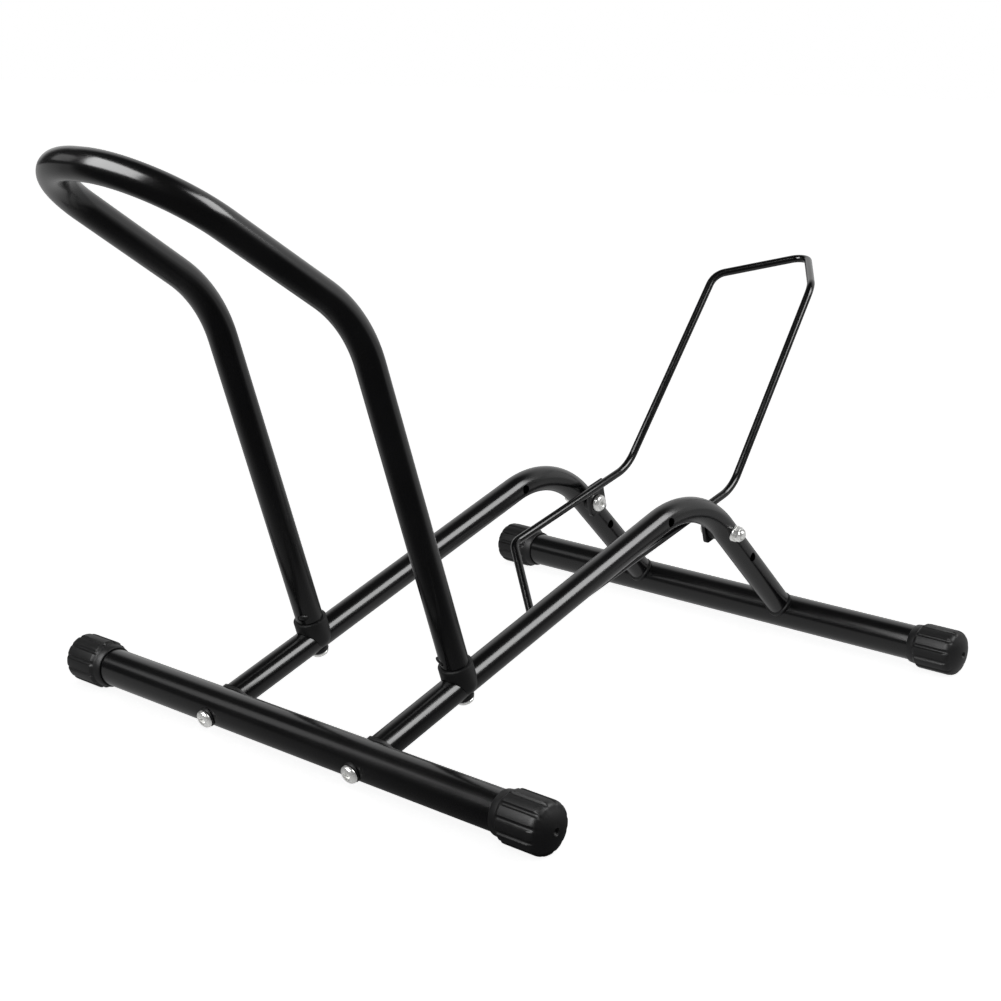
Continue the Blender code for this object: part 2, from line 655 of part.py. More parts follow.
def main():
    """Build every piece of the stand."""
    clear_scene()
    powder = finish("black powder coat", (0.012, 0.012, 0.013), 0.32, 0.0)
    wire = finish("black coated wire", (0.014, 0.014, 0.015), 0.3, 0.0)
    plastic = finish("black moulded plastic", (0.016, 0.016, 0.017), 0.5, 0.0)
    steel = finish("bright zinc steel", (0.62, 0.62, 0.63), 0.28, 1.0)

    leg = leg_axis(1)
    nose_y = HOOP_FOOT.y + leg.y * (HOOP_BEND_Z - HOOP_FOOT.z) / leg.z + ARM.y * ARM_LENGTH - HOOP_R
    apex = rod_corners()[0]
    tilt = math.hypot(ROD_TOP_REACH, ROD_TOP_RISE)
    toward = math.atan2(abs(rod_corners()[1].x), tilt)
    setback = ROD_APEX_BEND_R * (1 / math.sin(toward) - 1)
    top_y = PIVOT.y + apex.y - setback * ROD_TOP_REACH / tilt + ROD_R
    stand = empty("stand_origin", (0, -(nose_y + top_y) / 2, CAP_LAND_R))
    cradle = empty("cradle_pivot", PIVOT, stand)

    ends = (("front", FRONT_FOOT, FRONT_REACH, UP_RAIL), ("rear", REAR_FOOT, REAR_REACH, -DOWN_RAIL))
    for end, foot, reach, away in ends:
        foot_tube(end + "_foot_tube", foot, reach, away, powder, stand)
        for side_name, side in SIDES:
            end_cap(end + "_" + side_name + "_cap", foot, reach, side, plastic, stand)
            foot_joint(end, foot, away, side_name, side, steel, plastic, stand)
    wheel_hoop(powder, stand)
    cradle_rod(wire, cradle)
    for side_name, side in SIDES:
        rail(side_name + "_rail", side, powder, stand)
        hoop_joint(side_name, side, steel, plastic, stand)
        pivot_joint(side_name, side, steel, plastic, stand)
        cradle_tab(side_name + "_cradle_tab", side, wire, cradle)


main()
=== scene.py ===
"""Looks of a bike display stand for one wheel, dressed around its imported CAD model.

Lengths are in metres, angles in degrees, and every point is in the model's own frame:
X across the stand, Y from the front foot to the rear foot, Z up from the floor.
"""
import json
import logging
import math
from dataclasses import dataclass
from enum import Enum
from typing import Iterable, Optional, Sequence

import bmesh
import bpy
from mathutils import Matrix, Quaternion, Vector

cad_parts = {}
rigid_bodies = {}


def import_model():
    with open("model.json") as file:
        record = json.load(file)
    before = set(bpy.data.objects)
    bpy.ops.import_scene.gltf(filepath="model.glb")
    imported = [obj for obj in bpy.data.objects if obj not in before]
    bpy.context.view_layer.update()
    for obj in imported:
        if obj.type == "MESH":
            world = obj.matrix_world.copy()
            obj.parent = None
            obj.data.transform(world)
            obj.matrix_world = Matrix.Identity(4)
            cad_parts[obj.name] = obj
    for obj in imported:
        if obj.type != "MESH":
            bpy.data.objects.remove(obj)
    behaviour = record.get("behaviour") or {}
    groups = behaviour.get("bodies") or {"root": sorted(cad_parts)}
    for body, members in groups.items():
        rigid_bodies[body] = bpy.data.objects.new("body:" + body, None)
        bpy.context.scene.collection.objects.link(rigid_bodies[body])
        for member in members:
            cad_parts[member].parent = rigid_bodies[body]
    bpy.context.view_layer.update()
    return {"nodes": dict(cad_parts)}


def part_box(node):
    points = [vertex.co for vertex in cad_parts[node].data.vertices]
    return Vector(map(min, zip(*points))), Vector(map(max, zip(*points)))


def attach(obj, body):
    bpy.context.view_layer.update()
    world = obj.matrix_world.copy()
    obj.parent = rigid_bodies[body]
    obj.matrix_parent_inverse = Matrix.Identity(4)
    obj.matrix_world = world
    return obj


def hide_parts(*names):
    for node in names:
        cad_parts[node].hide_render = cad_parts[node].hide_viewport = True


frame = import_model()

log = logging.getLogger("bike_stand")

MM = 0.001
X_AXIS = Vector((1, 0, 0))
Y_AXIS = Vector((0, 1, 0))
Z_AXIS = Vector((0, 0, 1))
HERE = Matrix.Identity(4)
WHITE = (1.0, 1.0, 1.0, 1.0)
TUBE_CUTTER_SIDES = 128
BOLT_HOLE_SIDES = 32
PIVOT_HOLE_SIDES = 40

Profile = Sequence[tuple[float, float]]


class Body(Enum):
    """The two bodies of the mechanism."""

    FRAME = "frame"
    CRADLE = "cradle"


class Slot(Enum):
    """Material slots of the record."""

    POWDER = "powder"
    PLASTIC = "plastic"
    STEEL = "steel"
    WIRE = "wire"


class Relief(Enum):
    """Fine relief of a surface, by the texture node that draws it and that node's output."""

    GRAIN = ("ShaderNodeTexNoise", "Fac")
    CELLS = ("ShaderNodeTexVoronoi", "Distance")


@dataclass(frozen=True)
class Side:
    """One side of the stand.

    Args:
        name: Word used in the names of the side's nodes.
        sign: Direction of the side along X.
    """

    name: str
    sign: int


SIDES = (Side("left", -1), Side("right", 1))


# ---------------------------------------------------------------- finishes


def linear(code: str) -> tuple[float, float, float, float]:
    """Turn an sRGB hex colour into Blender's linear colour.

    Args:
        code: Six hex digits.

    Returns:
        Linear red, green, blue and an alpha of one.
    """
    parts = [int(code[i:i + 2], 16) / 255 for i in (0, 2, 4)]
    return tuple(p / 12.92 if p <= 0.04045 else ((p + 0.055) / 1.055) ** 2.4 for p in parts) + (1.0,)


def add_node(tree: bpy.types.NodeTree, kind: str, settings: Optional[dict] = None, **links) -> bpy.types.Node:
    """Add a shader node with its settings and links.

    Args:
        tree: Node tree the node goes into.
        kind: Blender's type name of the node.
        settings: Node attributes, and values for sockets given as "in:NAME".
        links: Output sockets by the input they feed, with n and a number for an input by its place.

    Returns:
        The new node.
    """
    node = tree.nodes.new(kind)
    for key, value in (settings or {}).items():
        if key.startswith("in:"):
            name = key[3:]
            node.inputs[int(name) if name.isdigit() else name].default_value = value
        else:
            setattr(node, key, value)
    for name, output in links.items():
        tree.links.new(output, node.inputs[int(name[1:]) if name[1:].isdigit() else name])
    return node


def blank_material(name: str) -> tuple[bpy.types.Material, bpy.types.Node]:
    """Make a material that holds only its shader and output.

    Args:
        name: Name of the real material.

    Returns:
        The material and its Principled shader.
    """
    made = bpy.data.materials.new(name)
    made.use_nodes = True
    return made, made.node_tree.nodes["Principled BSDF"]


@dataclass(frozen=True)
class Finish:
    """Two close tones in a soft cloud, over a fine relief. Each kind of finish starts from it.

    Args:
        name: Name of the real material.
        slot: Slot of the record that it dresses.
        tone: Colour at one end of the cloud.
        other_tone: Colour at its other end.
        roughness: Mean roughness.
        relief_mm: Size of the relief's grains.
        relief_depth_mm: Height of the relief.
        specular: Level of the reflection at the surface.
        metallic: Share of the metal in what is reflected.
        relief: Kind of the relief.
        relief_detail: Octaves of the relief.
        cloud_mm: Size of the cloud's patches.
        cloud_detail: Octaves of the cloud.
        cloud_span: Values of the cloud at which the tone begins and ends to change.
        gloss_span: Change of the roughness at the ends of the cloud.
    """

    name: str
    slot: Slot
    tone: str
    other_tone: str
    roughness: float
    relief_mm: float
    relief_depth_mm: float
    specular: float = 0.5
    metallic: float = 0.0
    relief: Relief = Relief.GRAIN
    relief_detail: float = 2.0
    cloud_mm: float = 38.0
    cloud_detail: float = 3.0
    cloud_span: tuple[float, float] = (0.0, 1.0)
    gloss_span: tuple[float, float] = (-0.04, 0.05)

    def material(self) -> bpy.types.Material:
        """Build the finish's material.

        Returns:
            The material.
        """
        made, shader = blank_material(self.name)
        tree = made.node_tree
        place = add_node(tree, "ShaderNodeTexCoord").outputs["Object"]
        kind, height = self.relief.value
        relief = add_node(tree, kind, {"in:Scale": 1 / (self.relief_mm * MM), "in:Detail": self.relief_detail},
                          Vector=place)
        cloud = add_node(tree, "ShaderNodeTexNoise",
                         {"in:Scale": 1 / (self.cloud_mm * MM), "in:Detail": self.cloud_detail},
                         Vector=place).outputs["Fac"]
        blend = add_node(tree, "ShaderNodeMapRange",
                         {"in:From Min": self.cloud_span[0], "in:From Max": self.cloud_span[1]}, Value=cloud)
        tint = add_node(tree, "ShaderNodeMix", {"data_type": "RGBA", "in:6": linear(self.tone),
                                                "in:7": linear(self.other_tone)}, n0=blend.outputs["Result"])
        gloss = add_node(tree, "ShaderNodeMapRange",
                         {"in:To Min": self.roughness + self.gloss_span[0],
                          "in:To Max": self.roughness + self.gloss_span[1]}, Value=cloud)
        bump = add_node(tree, "ShaderNodeBump", {"in:Strength": 1.0, "in:Distance": self.relief_depth_mm * MM},
                        Height=relief.outputs[height])
        tree.links.new(tint.outputs["Result"], shader.inputs["Base Color"])
        tree.links.new(gloss.outputs["Result"], shader.inputs["Roughness"])
        tree.links.new(bump.outputs["Normal"], shader.inputs["Normal"])
        shader.inputs["Specular IOR Level"].default_value = self.specular
        shader.inputs["Metallic"].default_value = self.metallic
        return made


@dataclass(frozen=True)
class BlackCoat(Finish):
    """Black powder fused over steel, with the soft ripple such films have."""

    cloud_span: tuple[float, float] = (0.35, 0.75)


@dataclass(frozen=True)
class MouldedPlastic(Finish):
    """Moulded nylon or polythene: matt, from the spark-eroded grain of its mould."""

    relief: Relief = Relief.CELLS
    relief_detail: float = 0.0
    cloud_mm: float = 7.0
    cloud_detail: float = 4.0
    gloss_span: tuple[float, float] = (-0.06, 0.08)


@dataclass(frozen=True)
class TurnedSteel(Finish):
    """Zinc-plated or bare steel, with fine turning marks and a faint cloud."""

    metallic: float = 1.0
    relief_detail: float = 3.0
    cloud_mm: float = 2.5
    cloud_detail: float = 2.0
    gloss_span: tuple[float, float] = (-0.05, 0.08)


# Epoxy-polyester powder, sprayed and baked: deep black, half gloss, with a slight orange peel
TUBE_POWDER = BlackCoat("black_powder_coat", Slot.POWDER, "080809", "0b0b0c", 0.20, 2.2, 0.004)
# The same powder on the thin rod, where it flows to a closer, shinier film
ROD_POWDER = BlackCoat("black_rod_coat", Slot.WIRE, "080809", "0c0c0d", 0.17, 1.6, 0.003)
# Injection-moulded polythene of the caps: soft, matt, a little greyer than the coat
CAP_PLASTIC = MouldedPlastic("black_moulded_polythene", Slot.PLASTIC, "0b0b0c", "0f0f10", 0.46, 0.45, 0.006,
                             0.30)
# Glass-filled nylon of saddles, washers and bushes: matt and hard
JOINT_PLASTIC = MouldedPlastic("black_moulded_nylon", Slot.PLASTIC, "0a0a0b", "0d0d0e", 0.44, 0.35, 0.006, 0.34)
# Bright zinc plate on bolts, washers and nuts: pale, between a metal and its whitish passivation
ZINC = TurnedSteel("bright_zinc_plate", Slot.STEEL, "fafaf8", "ececea", 0.24, 0.30, 0.002, metallic=0.5)
# Bare turned steel of the slugs inside the tubes: grey and dull
BARE_STEEL = TurnedSteel("bare_turned_steel", Slot.STEEL, "8e8f92", "6f7073", 0.38, 0.20, 0.005)
# Natural white nylon ring of a lock nut, moulded and matt
LOCK_RING = MouldedPlastic("white_nylon_ring", Slot.PLASTIC, "b9bab6", "a8a9a5", 0.45, 0.30, 0.004)

made_materials: dict[str, bpy.types.Material] = {}


def finish_of(finish: Finish) -> bpy.types.Material:
    """Give a finish's material, built once.

    Args:
        finish: One of the finishes above.

    Returns:
        Its material.
    """
    if finish.name not in made_materials:
        made_materials[finish.name] = finish.material()
    return made_materials[finish.name]


# ---------------------------------------------------------------- shaping


def deselect() -> None:
    """Leave nothing selected."""
    if bpy.context.object and bpy.context.object.mode != "OBJECT":
        bpy.ops.object.mode_set(mode="OBJECT")
    for other in bpy.context.view_layer.objects:
        other.select_set(False)
    bpy.context.view_layer.objects.active = None


def pick(piece: bpy.types.Object) -> None:
    """Make one object the only selected and the active one.

    Args:
        piece: The object.
    """
    deselect()
    piece.select_set(True)
    bpy.context.view_layer.objects.active = piece


def aimed(origin: Vector, along: Vector, side: Optional[Vector] = None) -> Matrix:
    """Frame of a place on the stand.

    Args:
        origin: Origin of the frame.
        along: Direction of its Z.
        side: Direction that its Y leans to.

    Returns:
        The four by four matrix from the frame to the stand.
    """
    z = along.normalized()
    if side is None:
        side = X_AXIS if abs(z.x) < 0.9 else Y_AXIS
    y = (side - z * side.dot(z)).normalized()
    return Matrix.Translation(origin) @ Matrix((y.cross(z), y, z)).transposed().to_4x4()


class Workpiece:
    """One mesh while it is shaped in edit mode, from a ring of edges."""

    def __init__(self, name: str, radius: float, sides: int, place: Matrix = HERE) -> None:
        """Start from a circle round the place's own Z.

        Args:
            name: Name of the piece.
            radius: Radius of the circle.
            sides: Number of its edges.
            place: Frame of the workpiece.
        """
        deselect()
        self.centre = place.translation.copy()
        self.turn = place.to_3x3()
        self.radius = radius
        bpy.ops.mesh.primitive_circle_add(vertices=sides, radius=radius, location=self.centre,
                                          rotation=self.turn.to_euler())
        bpy.ops.object.transform_apply(location=True, rotation=True, scale=True)
        self.piece = bpy.context.object
        self.piece.name = self.piece.data.name = name
        bpy.ops.object.mode_set(mode="EDIT")
        bpy.ops.mesh.select_mode(type="VERT")
        bpy.ops.mesh.select_all(action="SELECT")

    def run(self, move: Vector) -> "Workpiece":
        """Draw the selected ring out along a straight line.

        Args:
            move: Way that the ring goes.

        Returns:
            This workpiece.
        """
        bpy.ops.mesh.extrude_region_move(TRANSFORM_OT_translate={"value": tuple(move)})
        self.centre += move
        return self

    def bend(self, centre: Vector, axis: Vector, angle: float, steps: int) -> "Workpiece":
        """Draw the selected ring round an arc.

        Args:
            centre: Middle of the arc.
            axis: Axis of the turn, by the right hand.
            angle: Angle of the turn in radians.
            steps: Number of rings in the arc.

        Returns:
            This workpiece.
        """
        # The spin operator turns the other way round its axis
        bpy.ops.mesh.spin(steps=steps, angle=angle, center=centre, axis=tuple(-axis))
        self.centre = centre + Quaternion(axis, angle) @ (self.centre - centre)
        return self

    def step(self, radius: float, rise: float) -> "Workpiece":
        """Draw the ring along the workpiece's own Z to a new radius.

        Args:
            radius: The new radius.
            rise: Distance that the ring goes.

        Returns:
            This workpiece.
        """
        self.run(self.turn @ Vector((0, 0, rise)))
        ratio = radius / self.radius
        if abs(ratio - 1) > 1e-6:
            bpy.ops.transform.resize(value=(ratio, ratio, ratio), center_override=tuple(self.centre))
        self.radius = radius
        return self

    def follow(self, profile: Profile, at: float = 0.0) -> "Workpiece":
        """Draw the ring through a profile.

        Args:
            profile: Radius and height of each ring.
            at: Height of the ring that is selected.

        Returns:
            This workpiece.
        """
        for radius, height in profile:
            self.step(radius, height - at)
            at = height
        return self

    def done(self, merge: float = 1e-6) -> bpy.types.Object:
        """Merge doubles, turn the faces outward and leave edit mode.

        Args:
            merge: Distance under which points become one.

        Returns:
            The finished object.
        """
        bpy.ops.mesh.select_all(action="SELECT")
        bpy.ops.mesh.remove_doubles(threshold=merge)
        bpy.ops.mesh.normals_make_consistent(inside=False)
        bpy.ops.object.mode_set(mode="OBJECT")
        return self.piece

    def solid(self, merge: float = 1e-6) -> bpy.types.Object:
        """Close the open ends, then finish as done does.

        Args:
            merge: Distance under which points become one.

        Returns:
            The finished object.
        """
        bpy.ops.mesh.select_all(action="SELECT")
        bpy.ops.mesh.fill_holes(sides=0)
        return self.done(merge)


def apply_modifier(piece: bpy.types.Object, kind: str, **settings) -> None:
    """Add a modifier to a piece and apply it.

    Args:
        piece: Object to change.
        kind: Blender's name of the modifier's type.
        settings: Attributes of the modifier.
    """
    pick(piece)
    modifier = piece.modifiers.new(kind.title(), kind)
    for key, value in settings.items():
        setattr(modifier, key, value)
    bpy.ops.object.modifier_apply(modifier=modifier.name)


def carve(piece: bpy.types.Object, tool: bpy.types.Object, operation: str = "DIFFERENCE") -> None:
    """Cut a piece with a tool, or join the tool to it, and drop the tool.

    Args:
        piece: Object to change.
        tool: Object that it is cut with.
        operation: What the tool does to the piece.
    """
    apply_modifier(piece, "BOOLEAN", operation=operation, solver="EXACT", object=tool)
    bpy.data.objects.remove(tool)


def drill(piece: bpy.types.Object, place: Vector, reach: Vector, radius: float, sides: int,
          operation: str = "DIFFERENCE") -> None:
    """Cut a piece with a round bar.

    Args:
        piece: Object to cut.
        place: Middle of the bar.
        reach: Way from there to either end of the bar.
        radius: Radius of the bar.
        sides: Number of its sides.
        operation: What the bar does to the piece.
    """
    start = place - reach
    along = place + reach - start
    work = Workpiece("cutter", radius, sides, aimed(start, along))
    carve(piece, work.step(radius, along.length).solid(), operation)


def turned_piece(name: str, profile: Profile, sides: int = 48, ring: bool = False,
                 place: Matrix = HERE) -> bpy.types.Object:
    """Turn a profile about the place's Z, as on a lathe.

    Args:
        name: Name of the piece.
        profile: Radius and height of each ring.
        sides: Number of sides.
        ring: Whether the profile closes on itself round a bore.
        place: Frame of the piece.

    Returns:
        The closed piece.
    """
    merge = 2e-6
    start_r, start = profile[0]
    work = Workpiece(name, start_r, sides, place @ Matrix.Translation((0, 0, start)))
    if ring:
        return work.follow([*profile[1:], profile[0]], start).done(merge)
    return work.follow(profile[1:], start).solid(merge)


def smooth(piece: bpy.types.Object, angle: float = 35.0) -> bpy.types.Object:
    """Shade a piece smooth.

    Args:
        piece: Finished object.
        angle: Angle between faces up to which an edge is smooth.

    Returns:
        The same object.
    """
    pick(piece)
    bpy.ops.object.shade_smooth_by_angle(angle=math.radians(angle))
    return piece


def break_edges(piece: bpy.types.Object) -> None:
    """Round a piece's sharp edges a little.

    Args:
        piece: Object to change.
    """
    apply_modifier(piece, "BEVEL", width=0.35 * MM, segments=2, limit_method="ANGLE",
                   angle_limit=math.radians(50), harden_normals=False)


@dataclass(frozen=True)
class Corner:
    """A corner of a bent tube's centre line.

    Args:
        point: Where the straight runs would meet.
        radius: Radius of the bend, or none at an end.
    """

    point: Vector
    radius: Optional[float] = None


def bent_tube(name: str, corners: Sequence[Corner], radius: float, sides: int, closed: bool = False,
              step: float = 2.5) -> bpy.types.Object:
    """Draw a round bar's skin along straight runs and arcs.

    Args:
        name: Name of the piece.
        corners: Corners of the centre line.
        radius: Outer radius.
        sides: Number of sides.
        closed: Whether the last corner joins the first.
        step: Angle of one ring step in an arc.

    Returns:
        The skin, open at its ends.
    """
    points = [corner.point for corner in corners]
    start, finish = points[0], points[-1]
    order = range(1, len(points) - 1)
    if closed:
        start = finish = (points[-1] + points[0]) / 2
        order = range(len(points))
    work = Workpiece(name, radius, sides, aimed(start, points[order[0]] - start))
    for i in order:
        corner = corners[i]
        back = (points[i - 1] - corner.point).normalized()
        ahead = (points[(i + 1) % len(points)] - corner.point).normalized()
        half = back.angle(ahead) / 2
        sweep = math.pi - 2 * half
        centre = corner.point + (back + ahead).normalized() * corner.radius / math.sin(half)
        work.run(corner.point + back * corner.radius / math.tan(half) - work.centre)
        work.bend(centre, (-back).cross(ahead).normalized(), sweep, max(4, round(math.degrees(sweep) / step)))
    work.run(finish - work.centre)
    return work.done(1e-5)


def hollow(tube: bpy.types.Object) -> None:
    """Give a tube's skin its wall, inward.

    Args:
        tube: The skin.
    """
    apply_modifier(tube, "SOLIDIFY", thickness=PLAN.wall, offset=-1.0, use_even_offset=True)


def hand_over(piece: bpy.types.Object, finish: Finish, node: str = "", body: Body = Body.FRAME) -> None:
    """Dress a finished piece and give it to its body.

    Args:
        piece: Finished object.
        finish: Finish it is dressed in.
        node: CAD node it stands for, if any.
        body: Body it rides on.
    """
    piece.data.materials.clear()
    piece.data.materials.append(finish_of(finish))
    if node:
        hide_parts(node)
    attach(piece, body.value)
    log.info("%s: %d faces on %s", piece.name, len(piece.data.polygons), body.value)


def spread(model: bpy.types.Object, finish: Finish, places: Iterable[tuple[str, Matrix, str]],
           body: Body = Body.FRAME) -> None:
    """Copy a piece that was modelled once to its places, each copy with a mesh of its own.

    Args:
        model: The piece in its own frame, which is dropped in the end.
        finish: Finish of the copies.
        places: Name of each copy, its place, and the CAD node it stands for.
        body: Body they ride on.
    """
    for name, place, node in places:
        piece = bpy.data.objects.new(name, model.data.copy())
        piece.data.name = name
        piece.data.transform(place)
        bpy.context.scene.collection.objects.link(piece)
        hand_over(piece, finish, node, body)
    bpy.data.objects.remove(model)


def redress(node: str, finish: Finish) -> None:
    """Give a CAD node that stays a finish of its own.

    Args:
        node: Name of the node.
        finish: Finish that it gets.
    """
    for place in frame["nodes"][node].material_slots:
        place.material = finish_of(finish)
    log.info("%s: CAD node kept, %s", node, finish.name)


# ---------------------------------------------------------------- the plan of the stand


def middle_of(node: str) -> Vector:
    """Middle of a CAD node's box, by the node's name."""
    low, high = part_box(node)
    return (low + high) / 2


def lean_forward(angle: float) -> Vector:
    """Unit vector at an angle from upright towards the front of the stand."""
    return Vector((0, -math.sin(math.radians(angle)), math.cos(math.radians(angle))))


@dataclass(frozen=True)
class Plan:
    """Where the tubes run, and the sizes that more than one sub-assembly needs."""

    foot_r: float = 12.7 * MM
    foot_span: float = 444.5 * MM
    front_reach: float = 214.4 * MM
    rear_reach: float = 217.2 * MM
    rail_r: float = 9.25 * MM
    rail_x: float = 66.85 * MM
    hump_y: float = 322.5 * MM
    hump_z: float = 113.0 * MM
    hump_bend_r: float = 76.0 * MM
    wall: float = 1.2 * MM
    hoop_r: float = 9.25 * MM
    hoop_along_rail: float = 86.9 * MM
    hoop_lean: float = 20.4
    hoop_toe_in: float = 0.5
    pivot_behind_hump: float = 52.3 * MM
    spare_behind_hump: float = 84.7 * MM
    spare_before_hump: float = 41.7 * MM
    saddle_rise: float = 15.9 * MM
    seat_thick: float = 1.9 * MM
    gap: float = 0.3 * MM
    bolt_bore_r: float = 3.8 * MM
    pivot_bore_r: float = 3.3 * MM
    tab_x: float = 52.4 * MM
    tab_thick: float = 3.0 * MM
    stud_up: float = 5.2 * MM
    stud_r: float = 2.1 * MM
    stud_half_width: float = 3.9 * MM
    stud_turn: float = 18.0

    @property
    def front_foot(self) -> Vector:
        """Middle of the front foot's axis."""
        return middle_of("front_foot_tube")

    @property
    def rear_foot(self) -> Vector:
        """Middle of the rear foot's axis."""
        return self.front_foot + Vector((0, self.foot_span, 0))

    @property
    def hump(self) -> Vector:
        """Corner of the rails' centre lines at the hump."""
        return self.front_foot + Vector((0, self.hump_y, self.hump_z))

    @property
    def up_rail(self) -> Vector:
        """Direction of a rail from the front foot to the hump."""
        return (self.hump - self.front_foot).normalized()

    @property
    def down_rail(self) -> Vector:
        """Direction of a rail from the hump to the rear foot."""
        return (self.rear_foot - self.hump).normalized()

    @property
    def feet(self) -> tuple[tuple[str, Vector, float, Vector], ...]:
        """Each foot's name, middle, reach to the caps' ends, and direction to the rails."""
        return (("front", self.front_foot, self.front_reach, self.up_rail),
                ("rear", self.rear_foot, self.rear_reach, -self.down_rail))

    @property
    def hoop_foot(self) -> Vector:
        """Where the hoop's legs meet the rails' axes."""
        return self.front_foot + self.up_rail * self.hoop_along_rail

    @property
    def pivot(self) -> Vector:
        """Axis of the cradle's bolts."""
        return self.hump + self.down_rail * self.pivot_behind_hump

    @property
    def spare_holes(self) -> tuple[Vector, Vector]:
        """Places of the holes for wheels of other sizes."""
        return (self.hump + self.down_rail * self.spare_behind_hump,
                self.hump - self.up_rail * self.spare_before_hump)

    def across(self, side: Side) -> Vector:
        """Offset of one side's rail from the middle."""
        return Vector((side.sign * self.rail_x, 0, 0))

    def leg(self, side: Side) -> Vector:
        """Unit vector up one leg of the hoop."""
        inward = Vector((side.sign * math.tan(math.radians(self.hoop_toe_in)), 0, 0))
        return (lean_forward(self.hoop_lean) - inward).normalized()

    def stud(self, side: Side) -> Matrix:
        """Frame of one saddle's oval stud, from the leg's axis forward and a little inward.

        Args:
            side: Side of the stand.

        Returns:
            The frame, with Z along the stud.
        """
        leg = self.leg(side)
        front = -(self.up_rail - leg * self.up_rail.dot(leg)).normalized()
        out = Quaternion(leg, math.radians(-side.sign * self.stud_turn)) @ front
        return aimed(self.hoop_foot + self.across(side) + leg * (self.saddle_rise + self.stud_up), out, leg)


PLAN = Plan()


def oval_pin(place: Matrix, low: float, high: float, play: float = 0.0, dome: float = 0.0) -> bpy.types.Object:
    """Oval pin that stands out of a hoop saddle's spigot, or the cutter for its hole.

    Args:
        place: Frame of the pin, with Z along it and Y up the leg.
        low: Height of the pin's inner end.
        high: Height of its outer end.
        play: Extra size all round, for the hole.
        dome: Height of the domed end.

    Returns:
        The pin.
    """
    radius = PLAN.stud_r + play
    profile = [(radius, low), (radius, high - dome)]
    if dome:
        profile += [(share * radius, high - drop * dome)
                    for share, drop in ((0.92, 0.62), (0.7, 0.25), (0.35, 0.05))]
    pin = turned_piece("oval_pin", profile, 40, place=place)
    pick(pin)
    bpy.ops.object.mode_set(mode="EDIT")
    bpy.ops.mesh.select_all(action="SELECT")
    # The operator reads the matrix the other way round, so the oval lies about 20 degrees off square to the leg
    bpy.ops.transform.resize(value=((PLAN.stud_half_width + play) / radius, 1, 1), orient_type="GLOBAL",
                             orient_matrix=place.to_3x3().transposed(), orient_matrix_type="GLOBAL",
                             center_override=tuple(place.translation))
    bpy.ops.object.mode_set(mode="OBJECT")
    return pin


